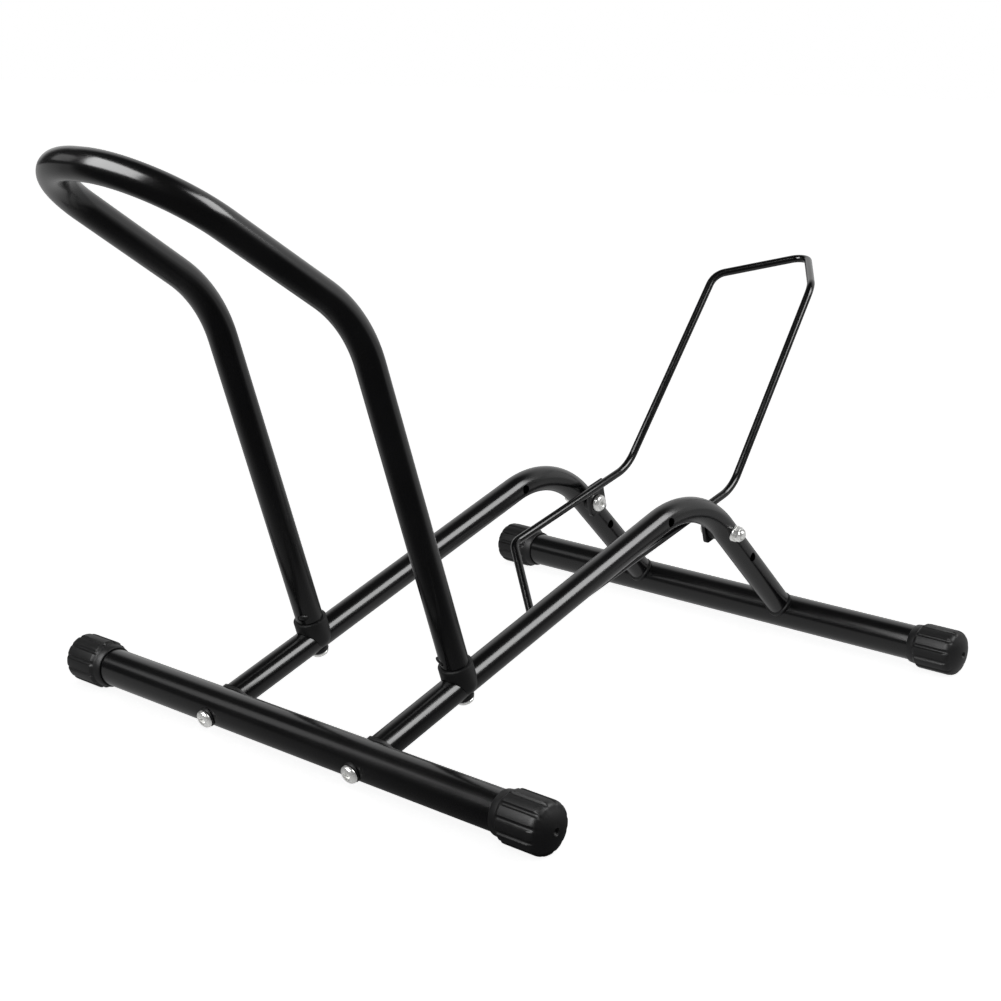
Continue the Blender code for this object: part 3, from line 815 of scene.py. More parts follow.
@dataclass
class Feet:
    """The two foot tubes and the fluted caps on their ends."""

    sides: int = 96
    cap_length: float = 36.5 * MM
    cap_lip_r: float = 14.0 * MM
    cap_collar_r: float = 14.8 * MM
    cap_collar_length: float = 5.8 * MM
    cap_step: float = 2.1 * MM
    cap_land_r: float = 16.4 * MM
    cap_rim: float = 6.2 * MM
    cap_rim_turn: float = 77.4
    cap_end_r: float = 12.4 * MM
    cap_crown: float = 3.6 * MM
    cap_proud: float = 2.6 * MM
    cap_end_wall: float = 3.8 * MM
    dimple_r: float = 2.2 * MM
    dimple_depth: float = 2.2 * MM
    lip_round: float = 0.4 * MM
    flutes: int = 12
    sides_per_flute: int = 16
    land_angle: float = 19.0
    groove_depth: float = 1.15 * MM
    groove_wall: float = 0.62
    groove_fade: float = 4.6 * MM

    def build(self) -> None:
        """Build both tubes, and one cap that is copied to their four ends."""
        places = []
        for end, foot, reach, away in PLAN.feet:
            self.tube(end, foot, reach, away)
            for side in SIDES:
                outward = X_AXIS * side.sign
                inner = foot + outward * (reach - self.cap_length)
                label = f"{end}_{side.name}"
                places.append((label + "_end_cap", aimed(inner, outward, -Z_AXIS), label + "_cap"))
        spread(self.cap(), CAP_PLASTIC, places)

    def tube(self, end: str, foot: Vector, reach: float, away: Vector) -> None:
        """Build one foot tube.

        Args:
            end: Which foot, in words.
            foot: Middle of its axis.
            reach: Distance from the middle to the caps' outer ends.
            away: Direction from the foot along the rails it carries.
        """
        half = reach - self.cap_end_wall - PLAN.gap
        work = Workpiece(end + "_foot", PLAN.foot_r, self.sides, aimed(foot - X_AXIS * half, X_AXIS))
        tube = work.step(PLAN.foot_r, 2 * half).done()
        hollow(tube)
        for side in SIDES:
            drill(tube, foot + PLAN.across(side), away * (PLAN.foot_r + 2 * MM), PLAN.bolt_bore_r, BOLT_HOLE_SIDES)
        smooth(tube)
        hand_over(tube, TUBE_POWDER, end + "_foot_tube")

    def cap(self) -> bpy.types.Object:
        """Model one cap: lip, collar, fluted grip, rounded rim, domed end and dimple.

        Returns:
            The cap, with its inner end at the origin and its outer end along Z.
        """
        collar_end = self.cap_collar_length
        full = self.cap_length + self.cap_proud
        rim_start = self.cap_length - self.cap_rim
        profile = [(self.cap_lip_r - self.lip_round, 0.0), (self.cap_lip_r, self.lip_round),
                   (self.cap_collar_r - 0.2 * MM, collar_end - 0.6 * MM),
                   (self.cap_collar_r - 0.1 * MM, collar_end),
                   (self.cap_collar_r + 0.05 * MM, collar_end + 0.1 * MM),
                   (self.cap_land_r - 0.25 * MM, collar_end + self.cap_step * 0.85),
                   (self.cap_land_r - 0.06 * MM, collar_end + self.cap_step),
                   (self.cap_land_r, collar_end + self.cap_step * 1.2), (self.cap_land_r, rim_start)]
        # The rim is most of a quarter of an ellipse, and the end a shallow bowl to the dimple
        rim_steps = end_steps = 8
        for k in range(1, rim_steps + 1):
            a = math.radians(self.cap_rim_turn) * k / rim_steps
            profile.append((self.cap_end_r + (self.cap_land_r - self.cap_end_r) * math.cos(a) ** 0.9,
                            rim_start + (full - self.cap_crown - rim_start) * math.sin(a)))
        rim_r, rim_z = profile[-1]
        for k in range(1, end_steps):
            share = 1 - k / end_steps
            if rim_r * share > self.dimple_r + 0.4 * MM:
                profile.append((rim_r * share, full - (full - rim_z) * share ** 2))
        profile += [(self.dimple_r + 0.2 * MM, full - 0.02 * MM), (self.dimple_r, full - 0.2 * MM),
                    (self.dimple_r * 0.8, full - self.dimple_depth * 0.8),
                    (self.dimple_r * 0.4, full - self.dimple_depth)]
        work = Workpiece("end_cap", PLAN.foot_r + PLAN.gap, self.flutes * self.sides_per_flute)
        work.follow(profile)
        bpy.ops.mesh.extrude_region_move(TRANSFORM_OT_translate={"value": (0, 0, 0)})
        bpy.ops.mesh.merge(type="COLLAPSE")
        cap = work.done()
        self.flute(cap)
        self.bore_wall(cap)
        return smooth(cap, 50)

    def flute(self, cap: bpy.types.Object) -> None:
        """Press the grooves in between the lands of a cap.

        Args:
            cap: The cap, still without its inside.
        """
        pick(cap)
        bpy.ops.object.mode_set(mode="EDIT")
        bpy.ops.mesh.select_mode(type="VERT")
        pitch = 2 * math.pi / self.flutes
        half_land = math.radians(self.land_angle) / 2
        first = self.cap_collar_length + self.cap_step * 0.3
        depth_step = 0.02 * MM
        groups: dict[tuple[int, float, float], list[int]] = {}
        for vert in bmesh.from_edit_mesh(cap.data).verts:
            radius = vert.co.xy.length
            if vert.co.z < first or radius < self.cap_end_r + 0.5 * MM:
                continue
            angle = (math.atan2(vert.co.y, vert.co.x) - math.pi / 2 + pitch / 2) % pitch - pitch / 2
            share = (abs(angle) - half_land) / (pitch / 2 - half_land)
            if share <= 0.02:
                continue
            wall = min(1.0, share / self.groove_wall)
            depth = self.groove_depth * wall * wall * (3 - 2 * wall)
            fade = max(0.0, min(1.0, (self.cap_length - 0.4 * MM - vert.co.z) / self.groove_fade))
            groups.setdefault((round(depth / depth_step), round(fade, 2), round(radius, 6)), []).append(vert.index)
        for (steps, fade, radius), indices in groups.items():
            bpy.ops.mesh.select_all(action="DESELECT")
            mesh = bmesh.from_edit_mesh(cap.data)
            mesh.verts.ensure_lookup_table()
            for index in indices:
                mesh.verts[index].select_set(True)
            mesh.select_flush_mode()
            ratio = 1 - steps * depth_step * fade / radius
            bpy.ops.transform.resize(value=(ratio, ratio, 1), center_override=(0, 0, 0))
        bpy.ops.object.mode_set(mode="OBJECT")

    def bore_wall(self, cap: bpy.types.Object) -> None:
        """Close the inside of a cap with its bore and the end wall's inner face.

        Args:
            cap: The cap, open at its inner end.
        """
        pick(cap)
        bpy.ops.object.mode_set(mode="EDIT")
        bpy.ops.mesh.select_mode(type="VERT")
        bpy.ops.mesh.select_all(action="DESELECT")
        mesh = bmesh.from_edit_mesh(cap.data)
        for vert in mesh.verts:
            at_bore = abs(vert.co.xy.length - PLAN.foot_r - PLAN.gap) < 1e-5
            vert.select_set(vert.co.z < 1e-6 and at_bore)
        mesh.select_flush_mode()
        depth = self.cap_length - self.cap_end_wall
        bpy.ops.mesh.extrude_region_move(TRANSFORM_OT_translate={"value": (0, 0, depth)})
        bpy.ops.mesh.edge_face_add()
        bpy.ops.mesh.select_all(action="SELECT")
        bpy.ops.mesh.normals_make_consistent(inside=False)
        bpy.ops.object.mode_set(mode="OBJECT")


@dataclass
class Rails:
    """The two bent rails from foot to foot."""

    sides: int = 72
    end_run_mm: float = 8.0
    cut_reach_mm: float = 14.0
    bolt_cut_reach_mm: float = 12.0

    def build(self) -> None:
        """Build both rails, each with the holes of its own side."""
        for side in SIDES:
            self.rail(side)

    def rail(self, side: Side) -> None:
        """Build one rail with its notched ends and holes.

        Args:
            side: Side of the stand.
        """
        shift = PLAN.across(side)
        corners = [Corner(PLAN.front_foot + shift + PLAN.up_rail * self.end_run_mm * MM),
                   Corner(PLAN.hump + shift, PLAN.hump_bend_r),
                   Corner(PLAN.rear_foot + shift - PLAN.down_rail * self.end_run_mm * MM)]
        rail = bent_tube(side.name + "_bent_rail", corners, PLAN.rail_r, self.sides)
        hollow(rail)
        across = X_AXIS * self.cut_reach_mm * MM
        notch_r = PLAN.foot_r + PLAN.seat_thick + 2 * PLAN.gap
        for foot in (PLAN.front_foot, PLAN.rear_foot):
            drill(rail, foot + shift, across, notch_r, TUBE_CUTTER_SIDES)
        for place in (PLAN.pivot, *PLAN.spare_holes):
            drill(rail, place + shift, across, PLAN.pivot_bore_r, PIVOT_HOLE_SIDES)
        drill(rail, PLAN.hoop_foot + shift, PLAN.leg(side) * self.bolt_cut_reach_mm * MM, PLAN.bolt_bore_r,
              BOLT_HOLE_SIDES)
        smooth(rail)
        hand_over(rail, TUBE_POWDER, side.name + "_rail")


@dataclass
class WheelHoop:
    """The tube hoop that takes the tyre's front in its nose."""

    sides: int = 72
    bend_z: float = 267.1 * MM
    bend_r: float = 87.4 * MM
    arm_lean: float = 58.0
    arm_length: float = 164.3 * MM
    arm_toe_in: float = 2.3
    nose_bend_r: float = 57.2 * MM

    def corners(self) -> list[Corner]:
        """Find the corners of the centre line.

        Returns:
            The corners, from the left leg's foot to the right one's.
        """
        arm = lean_forward(self.arm_lean)
        in_arm = self.arm_length * math.tan(math.radians(self.arm_toe_in))
        halves = []
        for side in SIDES:
            leg = PLAN.leg(side)
            base = PLAN.hoop_foot + PLAN.across(side)
            rise = self.bend_z - (PLAN.hoop_foot - PLAN.front_foot).z
            bend = base + leg * rise / leg.z
            nose = bend + arm * self.arm_length - Vector((side.sign * in_arm, 0, 0))
            halves.append([Corner(base + leg * PLAN.saddle_rise), Corner(bend, self.bend_r),
                           Corner(nose, self.nose_bend_r)])
        return halves[0] + halves[1][::-1]

    def build(self) -> None:
        """Build the hoop, with the holes that its saddles' studs stand in."""
        tube = bent_tube("bent_wheel_hoop", self.corners(), PLAN.hoop_r, self.sides)
        hollow(tube)
        for side in SIDES:
            carve(tube, oval_pin(PLAN.stud(side), 0.5 * PLAN.hoop_r, 1.5 * PLAN.hoop_r, PLAN.gap))
        smooth(tube)
        hand_over(tube, TUBE_POWDER, "wheel_hoop")


@dataclass
class Cradle:
    """The hinged wire cradle: one closed rod with a V at each end, and two welded tabs."""

    rod_r: float = 3.0 * MM
    sides: int = 40
    half_width: float = 49.2 * MM
    above_pivot: float = 14.7 * MM
    slope: float = 15.8
    front_reach: float = 99.7 * MM
    back_reach: float = 36.1 * MM
    leg_lean: float = 34.5
    leg_length: float = 171.6 * MM
    toe_in: float = 1.3
    top_reach: float = 62.2 * MM
    top_rise: float = 14.3 * MM
    drop_lean: float = 32.0
    drop_length: float = 58.0 * MM
    back_bend_r: float = 32.5 * MM
    front_bend_r: float = 11.0 * MM
    top_bend_r: float = 18.5 * MM
    apex_bend_r: float = 9.5 * MM
    toe_bend_r: float = 12.2 * MM
    tab_before: float = 8.8 * MM
    tab_behind: float = 9.4 * MM
    tab_below: float = 8.8 * MM
    tab_past_rod: float = 0.6 * MM
    tab_corner_r: float = 3.0 * MM
    bead_margin: float = 1.5 * MM
    bead_ripples: int = 13

    def corners(self) -> list[Corner]:
        """Find the corners of the rod's centre line.

        Returns:
            The corners, all the way round.
        """
        slope = math.radians(self.slope)
        run = Vector((0, math.cos(slope), math.sin(slope)))
        rise = Vector((0, -math.sin(slope), math.cos(slope)))
        front = rise * self.above_pivot - run * self.front_reach
        back = rise * self.above_pivot + run * self.back_reach
        top = back + lean_forward(-self.leg_lean) * self.leg_length
        top_half = self.half_width - self.leg_length * math.tan(math.radians(self.toe_in))
        apex = top + Vector((0, self.top_reach, self.top_rise))
        toe = front - lean_forward(-self.drop_lean) * self.drop_length
        wide = Vector((self.half_width, 0, 0))
        narrow = Vector((top_half, 0, 0))
        around = ((apex, self.apex_bend_r), (top - narrow, self.top_bend_r), (back - wide, self.back_bend_r),
                  (front - wide, self.front_bend_r), (toe, self.toe_bend_r), (front + wide, self.front_bend_r),
                  (back + wide, self.back_bend_r), (top + narrow, self.top_bend_r))
        return [Corner(PLAN.pivot + point, radius) for point, radius in around]

    def build(self) -> None:
        """Build the rod, then a tab and its two weld beads, which are copied to both sides."""
        rod = bent_tube("bent_cradle_rod", self.corners(), self.rod_r, self.sides, closed=True)
        hand_over(smooth(rod), ROD_POWDER, "cradle_rod", Body.CRADLE)
        slope = Matrix.Translation(PLAN.pivot) @ Matrix.Rotation(math.radians(self.slope), 4, "X")
        middle = PLAN.tab_x + PLAN.tab_thick / 2
        spread(self.tab(), ROD_POWDER,
               [(side.name + "_welded_tab", slope @ Matrix.Translation((side.sign * middle, 0, 0)),
                 side.name + "_cradle_tab") for side in SIDES], Body.CRADLE)
        for label, inward, rise, radius in (("under", 0.5 * MM, -2.5 * MM, 1.3 * MM),
                                            ("over", 0.3 * MM, 1.7 * MM, 1.2 * MM)):
            places = []
            for side in SIDES:
                start = Vector((side.sign * (PLAN.tab_x - inward), self.bead_margin - self.tab_before,
                                self.above_pivot + rise))
                places.append((f"{side.name}_weld_{label}", slope @ aimed(start, Y_AXIS), ""))
            spread(self.bead(radius), ROD_POWDER, places, Body.CRADLE)

    def tab(self) -> bpy.types.Object:
        """Model a tab with rounded lower corners and its bore.

        Returns:
            The tab, with its bore along X through the origin.
        """
        low, high = -self.tab_below, self.above_pivot + self.tab_past_rod
        deselect()
        bpy.ops.mesh.primitive_cube_add(size=1)
        tab = bpy.context.object
        bpy.ops.object.mode_set(mode="EDIT")
        bpy.ops.transform.resize(value=(PLAN.tab_thick, self.tab_behind + self.tab_before, high - low))
        bpy.ops.mesh.select_mode(type="EDGE")
        bpy.ops.mesh.select_all(action="DESELECT")
        for edge in bmesh.from_edit_mesh(tab.data).edges:
            one, other = (vert.co for vert in edge.verts)
            edge.select_set(max(one.z, other.z) < 0 and abs(one.y - other.y) < 1e-6)
        bmesh.update_edit_mesh(tab.data)
        bpy.ops.mesh.bevel(offset=self.tab_corner_r, segments=10)
        bpy.ops.mesh.select_all(action="SELECT")
        bpy.ops.transform.translate(value=(0, (self.tab_behind - self.tab_before) / 2, (low + high) / 2))
        bpy.ops.object.mode_set(mode="OBJECT")
        drill(tab, Vector(), X_AXIS * 2 * PLAN.tab_thick, PLAN.pivot_bore_r, 48)
        break_edges(tab)
        return smooth(tab, 40)

    def bead(self, radius: float) -> bpy.types.Object:
        """Model a weld bead with its ripples.

        Args:
            radius: Radius of the bead.

        Returns:
            The bead, along Z from the origin.
        """
        length = self.tab_behind + self.tab_before - 2 * self.bead_margin
        profile = [(0.35 * radius, -0.6 * MM), (0.75 * radius, -0.3 * MM)]
        for k in range(2 * self.bead_ripples + 1):
            profile.append((radius * (1.0 if k % 2 else 0.86), length * k / (2 * self.bead_ripples)))
        profile += [(0.75 * radius, length + 0.3 * MM), (0.35 * radius, length + 0.6 * MM)]
        return smooth(turned_piece("weld_bead", profile, 20), 60)


@dataclass(frozen=True)
class BoltSize:
    """Sizes of one kind of button-head bolt with a hexagon socket.

    Args:
        shank_r: Radius of the thread's crests.
        head_r: Radius of the head.
        head_h: Height of the head.
        flats: Width of the socket across its flats.
        socket_depth: Depth of the socket.
        pitch: Pitch of the thread.
        threads: Number of the threads that are cut.
    """

    shank_r: float
    head_r: float
    head_h: float
    flats: float
    socket_depth: float
    pitch: float = 1.0 * MM
    threads: int = 8


TUBE_BOLT = BoltSize(3.5 * MM, 6.1 * MM, 3.4 * MM, 4.5 * MM, 1.9 * MM)
PIVOT_BOLT = BoltSize(3.0 * MM, 6.5 * MM, 4.2 * MM, 4.0 * MM, 2.0 * MM)


def button_bolt(place: Matrix, seat: float, tip: float, size: BoltSize) -> bpy.types.Object:
    """Model a bolt: threaded shank, rounded head, chamfered mouth and hexagon socket.

    Args:
        place: Frame of the bolt.
        seat: Height of the head's seat along Z.
        tip: Depth of the shank's end below the origin.
        size: Sizes of the bolt.

    Returns:
        The bolt, with its head along Z.
    """
    core = size.shank_r - 0.5 * size.pitch
    at = -tip + 0.4 * MM
    profile = [(core - 0.3 * MM, -tip), (core, at)]
    for _ in range(size.threads):
        profile += [(size.shank_r, at + 0.45 * size.pitch), (size.shank_r, at + 0.55 * size.pitch),
                    (core, at + size.pitch)]
        at += size.pitch
    edge = seat + 0.2 * size.head_h
    top = seat + size.head_h
    top_r = 0.52 * size.head_r
    mouth = size.flats / math.sqrt(3)
    profile += [(size.shank_r, at + 0.5 * size.pitch), (size.shank_r, seat), (size.head_r - 0.3 * MM, seat),
                (size.head_r, seat + 0.3 * MM), (size.head_r, edge)]
    head_steps = 8
    for k in range(1, head_steps + 1):
        a = math.radians(90) * k / head_steps
        profile.append((top_r + (size.head_r - top_r) * math.cos(a), edge + (top - edge) * math.sin(a)))
    profile += [(mouth + 0.25 * MM, top), (mouth - 0.35 * MM, top - 0.5 * MM)]
    bolt = turned_piece("button_bolt", profile, 64, place=place)
    socket = Workpiece("socket", mouth, 6, place @ Matrix.Translation((0, 0, top - size.socket_depth)))
    carve(bolt, socket.step(mouth, size.socket_depth + 1 * MM).solid())
    return smooth(bolt, 28)


def saddle_washer(place: Matrix, tube: Vector, tube_r: float, bore_r: float, radius: float, crest: float,
                  edge: float) -> bpy.types.Object:
    """Model a washer whose underside is hollowed to the tube it lies on.

    Args:
        place: Frame of the washer, on the tube's axis.
        tube: Direction of the tube.
        tube_r: Radius of the tube.
        bore_r: Radius of the bore.
        radius: Outer radius.
        crest: Thickness over the tube's crest.
        edge: Rounding of its outer edge.

    Returns:
        The washer, with its bore along Z.
    """
    top = tube_r + PLAN.gap + crest
    washer = turned_piece("saddle_washer", [
        (bore_r, 0.5 * tube_r), (radius, 0.5 * tube_r), (radius, top - edge),
        (radius - 0.3 * edge, top - 0.3 * edge), (radius - edge, top), (bore_r + 0.2 * MM, top),
        (bore_r, top - 0.2 * MM)], 64, True, place)
    drill(washer, place.translation, tube * 3 * radius, tube_r + PLAN.gap, TUBE_CUTTER_SIDES)
    return smooth(washer, 40)


@dataclass(frozen=True)
class Spot:
    """Place of one joint on the stand.

    Args:
        label: Start of the names of its pieces and nodes.
        origin: Where the bolt's axis meets the tube's.
        along: Direction of the joint's Z.
        side: Direction of its Y.
    """

    label: str
    origin: Vector
    along: Vector
    side: Vector

    def place(self, sign: int = 1, side: Optional[Vector] = None) -> Matrix:
        """Frame of a piece at the spot, with its Z along or against the joint's."""
        return aimed(self.origin, self.along * sign, side or self.side)


def deal(model: bpy.types.Object, finish: Finish, spots: Sequence[Spot], name: str, node: str, sign: int = 1,
         side: Optional[Vector] = None) -> None:
    """Copy a joint's piece from the first place of that joint to all of them.

    Args:
        model: The piece at the first place.
        finish: Its finish.
        spots: Places of the joint.
        name: End of the copies' names.
        node: End of the names of the CAD nodes they stand for, if any.
        sign: Minus one for a piece whose Z points the other way.
        side: Direction of the copies' Y, if it isn't the spot's.
    """
    back = spots[0].place(sign, side).inverted()
    spread(model, finish, [(f"{spot.label}_{name}", spot.place(sign, side) @ back,
                            f"{spot.label}_{node}" if node else "") for spot in spots])


@dataclass
class Joints:
    """The bolted joints: saddles, slugs, washers, bolts and nuts."""

    seat_r: float = 10.3 * MM
    seat_blank_from: float = 6.0 * MM
    seat_cut_reach: float = 20.0 * MM
    seat_spigot: float = 12.0 * MM
    washer_r: float = 6.6 * MM
    washer_crest: float = 0.6 * MM
    washer_edge: float = 0.6 * MM
    slug_past_spigot: float = 1.0 * MM
    bolt_in_slug: float = 11.0 * MM
    saddle_r: float = 11.2 * MM
    ear_drop: float = 4.2 * MM
    ear_lift: float = 1.5 * MM
    ear_round: float = 9.5 * MM
    saddle_spigot: float = 19.0 * MM
    stud_proud: float = 0.5 * MM
    stud_dome: float = 1.2 * MM
    bush_r: float = 7.2 * MM
    nut_washer_r: float = 5.9 * MM
    nut_washer_crest: float = 1.0 * MM
    pivot_past_nut: float = 1.2 * MM
    nut_flats: float = 9.4 * MM
    nut_h: float = 4.6 * MM
    nut_collar: float = 0.46
    cut_reach: float = 30.0 * MM

    def build(self) -> None:
        """Build the three kinds of joint; the slugs inside the tubes stay as the CAD has them."""
        self.foot_joints([Spot(f"{end}_{side.name}", foot + PLAN.across(side), away, X_AXIS)
                          for side in SIDES for end, foot, _, away in PLAN.feet])
        self.hoop_joints()
        self.pivot_joints([Spot(side.name, PLAN.pivot + PLAN.across(side), X_AXIS * side.sign, PLAN.down_rail)
                           for side in SIDES])

    def foot_joints(self, spots: Sequence[Spot]) -> None:
        """Build what fixes the rails' ends to the feet.

        Args:
            spots: Places of the joints, with Z from the foot along the rail.
        """
        low = PLAN.foot_r + PLAN.gap
        high = low + PLAN.seat_thick
        first = spots[0]
        deal(self.rail_seat(first, low, high), JOINT_PLASTIC, spots, "rail_seat", "rail_saddle")
        ring = saddle_washer(first.place(-1), first.side, PLAN.foot_r, PLAN.bolt_bore_r, self.washer_r,
                             self.washer_crest, self.washer_edge)
        deal(ring, JOINT_PLASTIC, spots, "foot_ring", "foot_washer", -1)
        tip = high + self.seat_spigot + self.slug_past_spigot + self.bolt_in_slug
        bolt = button_bolt(first.place(-1), PLAN.foot_r + self.washer_crest + 2 * PLAN.gap, tip, TUBE_BOLT)
        deal(bolt, ZINC, spots, "foot_button_bolt", "foot_bolt", -1)
        for spot in spots:
            redress(spot.label + "_rail_slug", BARE_STEEL)

    def rail_seat(self, spot: Spot, low: float, high: float) -> bpy.types.Object:
        """Model the seat between a foot and a rail's end, with its spigot.

        Args:
            spot: Place of its joint.
            low: Radius of its underside round the foot's axis.
            high: Radius of its upper side.

        Returns:
            The seat, with its spigot along the rail.
        """
        bore_r = PLAN.bolt_bore_r
        spigot_r = PLAN.rail_r - PLAN.wall - PLAN.gap
        reach = spot.side * self.seat_cut_reach
        blank = [(bore_r, self.seat_blank_from), (self.seat_r, self.seat_blank_from),
                 (self.seat_r, high + 3 * MM), (bore_r, high + 3 * MM)]
        seat = turned_piece("rail_seat", blank, 72, True, spot.place())
        drill(seat, spot.origin, reach, low, TUBE_CUTTER_SIDES)
        drill(seat, spot.origin, reach, high, TUBE_CUTTER_SIDES, "INTERSECT")
        break_edges(seat)
        root, end = high - 0.6 * MM, high + self.seat_spigot
        spigot_bore = bore_r + 0.01 * MM
        spigot = turned_piece("spigot", [(spigot_bore, root), (spigot_r, root), (spigot_r, end - 0.6 * MM),
                                         (spigot_r - 0.6 * MM, end), (spigot_bore, end)], 72, True, spot.place())
        carve(seat, spigot, "UNION")
        return smooth(seat, 40)

    def hoop_joints(self) -> None:
        """Build what fixes the hoop's legs to the rails, with Z up the leg."""
        spots = []
        for side in SIDES:
            spots.append(Spot(side.name, PLAN.hoop_foot + PLAN.across(side), PLAN.leg(side), PLAN.up_rail))
            self.saddle(side, spots[-1])
        first = spots[0]
        ring = saddle_washer(first.place(-1), first.side, PLAN.rail_r, PLAN.bolt_bore_r, self.washer_r,
                             self.washer_crest, self.washer_edge)
        deal(ring, JOINT_PLASTIC, spots, "hoop_ring", "hoop_washer", -1)
        tip = PLAN.saddle_rise + self.saddle_spigot + self.slug_past_spigot + self.bolt_in_slug
        bolt = button_bolt(first.place(-1, X_AXIS), PLAN.rail_r + self.washer_crest + 2 * PLAN.gap, tip, TUBE_BOLT)
        deal(bolt, ZINC, spots, "hoop_button_bolt", "hoop_bolt", -1, X_AXIS)
        for spot in spots:
            redress(spot.label + "_hoop_slug", BARE_STEEL)

    def saddle(self, side: Side, spot: Spot) -> None:
        """Build one saddle of the hoop: ears over the rail, collar, spigot and stud.

        Args:
            side: Side of the stand.
            spot: Place of its joint.
        """
        spigot_r = PLAN.hoop_r - PLAN.wall - PLAN.gap
        top = PLAN.saddle_rise - PLAN.gap
        end = top + self.saddle_spigot
        profile = [(PLAN.bolt_bore_r, -self.ear_drop)]
        ear_steps = 8
        for k in range(ear_steps + 1):
            drop = self.ear_drop * (1 - k / ear_steps)
            fall = (drop + self.ear_lift) / self.ear_round
            profile.append((self.saddle_r * math.sqrt(1 - fall * fall), -drop))
        profile += [(self.saddle_r, self.ear_lift), (self.saddle_r, top - 0.5 * MM),
                    (self.saddle_r - 0.15 * MM, top - 0.15 * MM), (self.saddle_r - 0.5 * MM, top),
                    (spigot_r, top), (spigot_r, end - 1 * MM), (spigot_r - 0.8 * MM, end), (PLAN.bolt_bore_r, end)]
        saddle = turned_piece(side.name + "_hoop_collar", profile, 96, True,
                              aimed(spot.origin, spot.along, spot.side))
        carve(saddle, oval_pin(PLAN.stud(side), spigot_r - 1.5 * MM, PLAN.hoop_r + self.stud_proud,
                               dome=self.stud_dome), "UNION")
        drill(saddle, spot.origin, PLAN.up_rail * self.cut_reach, PLAN.rail_r + PLAN.gap, TUBE_CUTTER_SIDES)
        hand_over(smooth(saddle, 40), JOINT_PLASTIC, side.name + "_hoop_saddle")

    def pivot_joints(self, spots: Sequence[Spot]) -> None:
        """Build the bolts that the cradle turns on, each with its bush, washer and lock nut.

        Args:
            spots: Places of the joints, with Z outward.
        """
        crest = PLAN.rail_x - PLAN.tab_x - PLAN.tab_thick - PLAN.rail_r - 2 * PLAN.gap
        first = spots[0]
        bush = saddle_washer(first.place(-1), first.side, PLAN.rail_r, PLAN.pivot_bore_r, self.bush_r, crest,
                             0.5 * MM)
        deal(bush, JOINT_PLASTIC, spots, "pivot_bush", "pivot_spacer", -1)
        ring = saddle_washer(first.place(), first.side, PLAN.rail_r, PLAN.pivot_bore_r, self.nut_washer_r,
                             self.nut_washer_crest, 0.35 * MM)
        deal(ring, ZINC, spots, "pivot_ring", "pivot_washer")
        seat = PLAN.rail_r + self.nut_washer_crest + 2 * PLAN.gap
        tip = seat + self.nut_h + self.pivot_past_nut
        bolt = button_bolt(first.place(-1, Y_AXIS), PLAN.rail_x - PLAN.tab_x + PLAN.gap, tip, PIVOT_BOLT)
        deal(bolt, ZINC, spots, "pivot_button_bolt", "pivot_bolt", -1, Y_AXIS)
        deal(self.lock_nut(first.place(), seat), ZINC, spots, "lock_nut", "pivot_nut")
        bore = PLAN.pivot_bore_r + 0.05 * MM
        ring_r = self.nut_collar * self.nut_flats - 0.95 * MM
        low, high = seat + self.nut_h - 0.95 * MM, seat + self.nut_h - 0.25 * MM
        ring = turned_piece("lock_ring", [(bore, low), (ring_r, low), (ring_r, high - 0.2 * MM),
                                          (ring_r - 0.2 * MM, high), (bore, high)], 48, True, first.place())
        deal(smooth(ring), LOCK_RING, spots, "lock_ring", "")

    def lock_nut(self, place: Matrix, seat: float) -> bpy.types.Object:
        """Model a lock nut: chamfered hexagon, and a round collar with a recess for the nylon ring.

        Args:
            place: Frame of the nut, on the rail's axis.
            seat: Height of the nut's seat.

        Returns:
            The nut, with its collar along Z.
        """
        flat_r = self.nut_flats / 2
        corner = self.nut_flats / math.sqrt(3)
        shoulder = seat + 0.7 * self.nut_h
        top = seat + self.nut_h
        collar = self.nut_collar * self.nut_flats
        nut = Workpiece("lock_nut", corner, 6, place @ Matrix.Translation((0, 0, seat)))
        nut = nut.step(corner, shoulder - seat).solid()
        past = corner + 0.2 * MM
        chamfer = turned_piece("chamfer", [(flat_r, seat - 0.01 * MM), (past, seat + 0.45 * MM),
                                           (past, shoulder - 0.45 * MM), (flat_r, shoulder + 0.01 * MM)], 72,
                               place=place)
        carve(nut, chamfer, "INTERSECT")
        crown = turned_piece("crown", [(collar, shoulder - 0.5 * MM), (collar, top - 0.8 * MM),
                                       (collar - 0.25 * MM, top - 0.25 * MM), (collar - 0.8 * MM, top)], 72,
                             place=place)
        carve(nut, crown, "UNION")
        end, out = place @ (Z_AXIS * top), place.to_3x3() @ Z_AXIS
        drill(nut, end, out * 1.0 * MM, collar - 0.9 * MM, 48)
        drill(nut, end, out * 2 * self.nut_h, PLAN.pivot_bore_r + 0.05 * MM, PIVOT_HOLE_SIDES)
        return smooth(nut, 28)


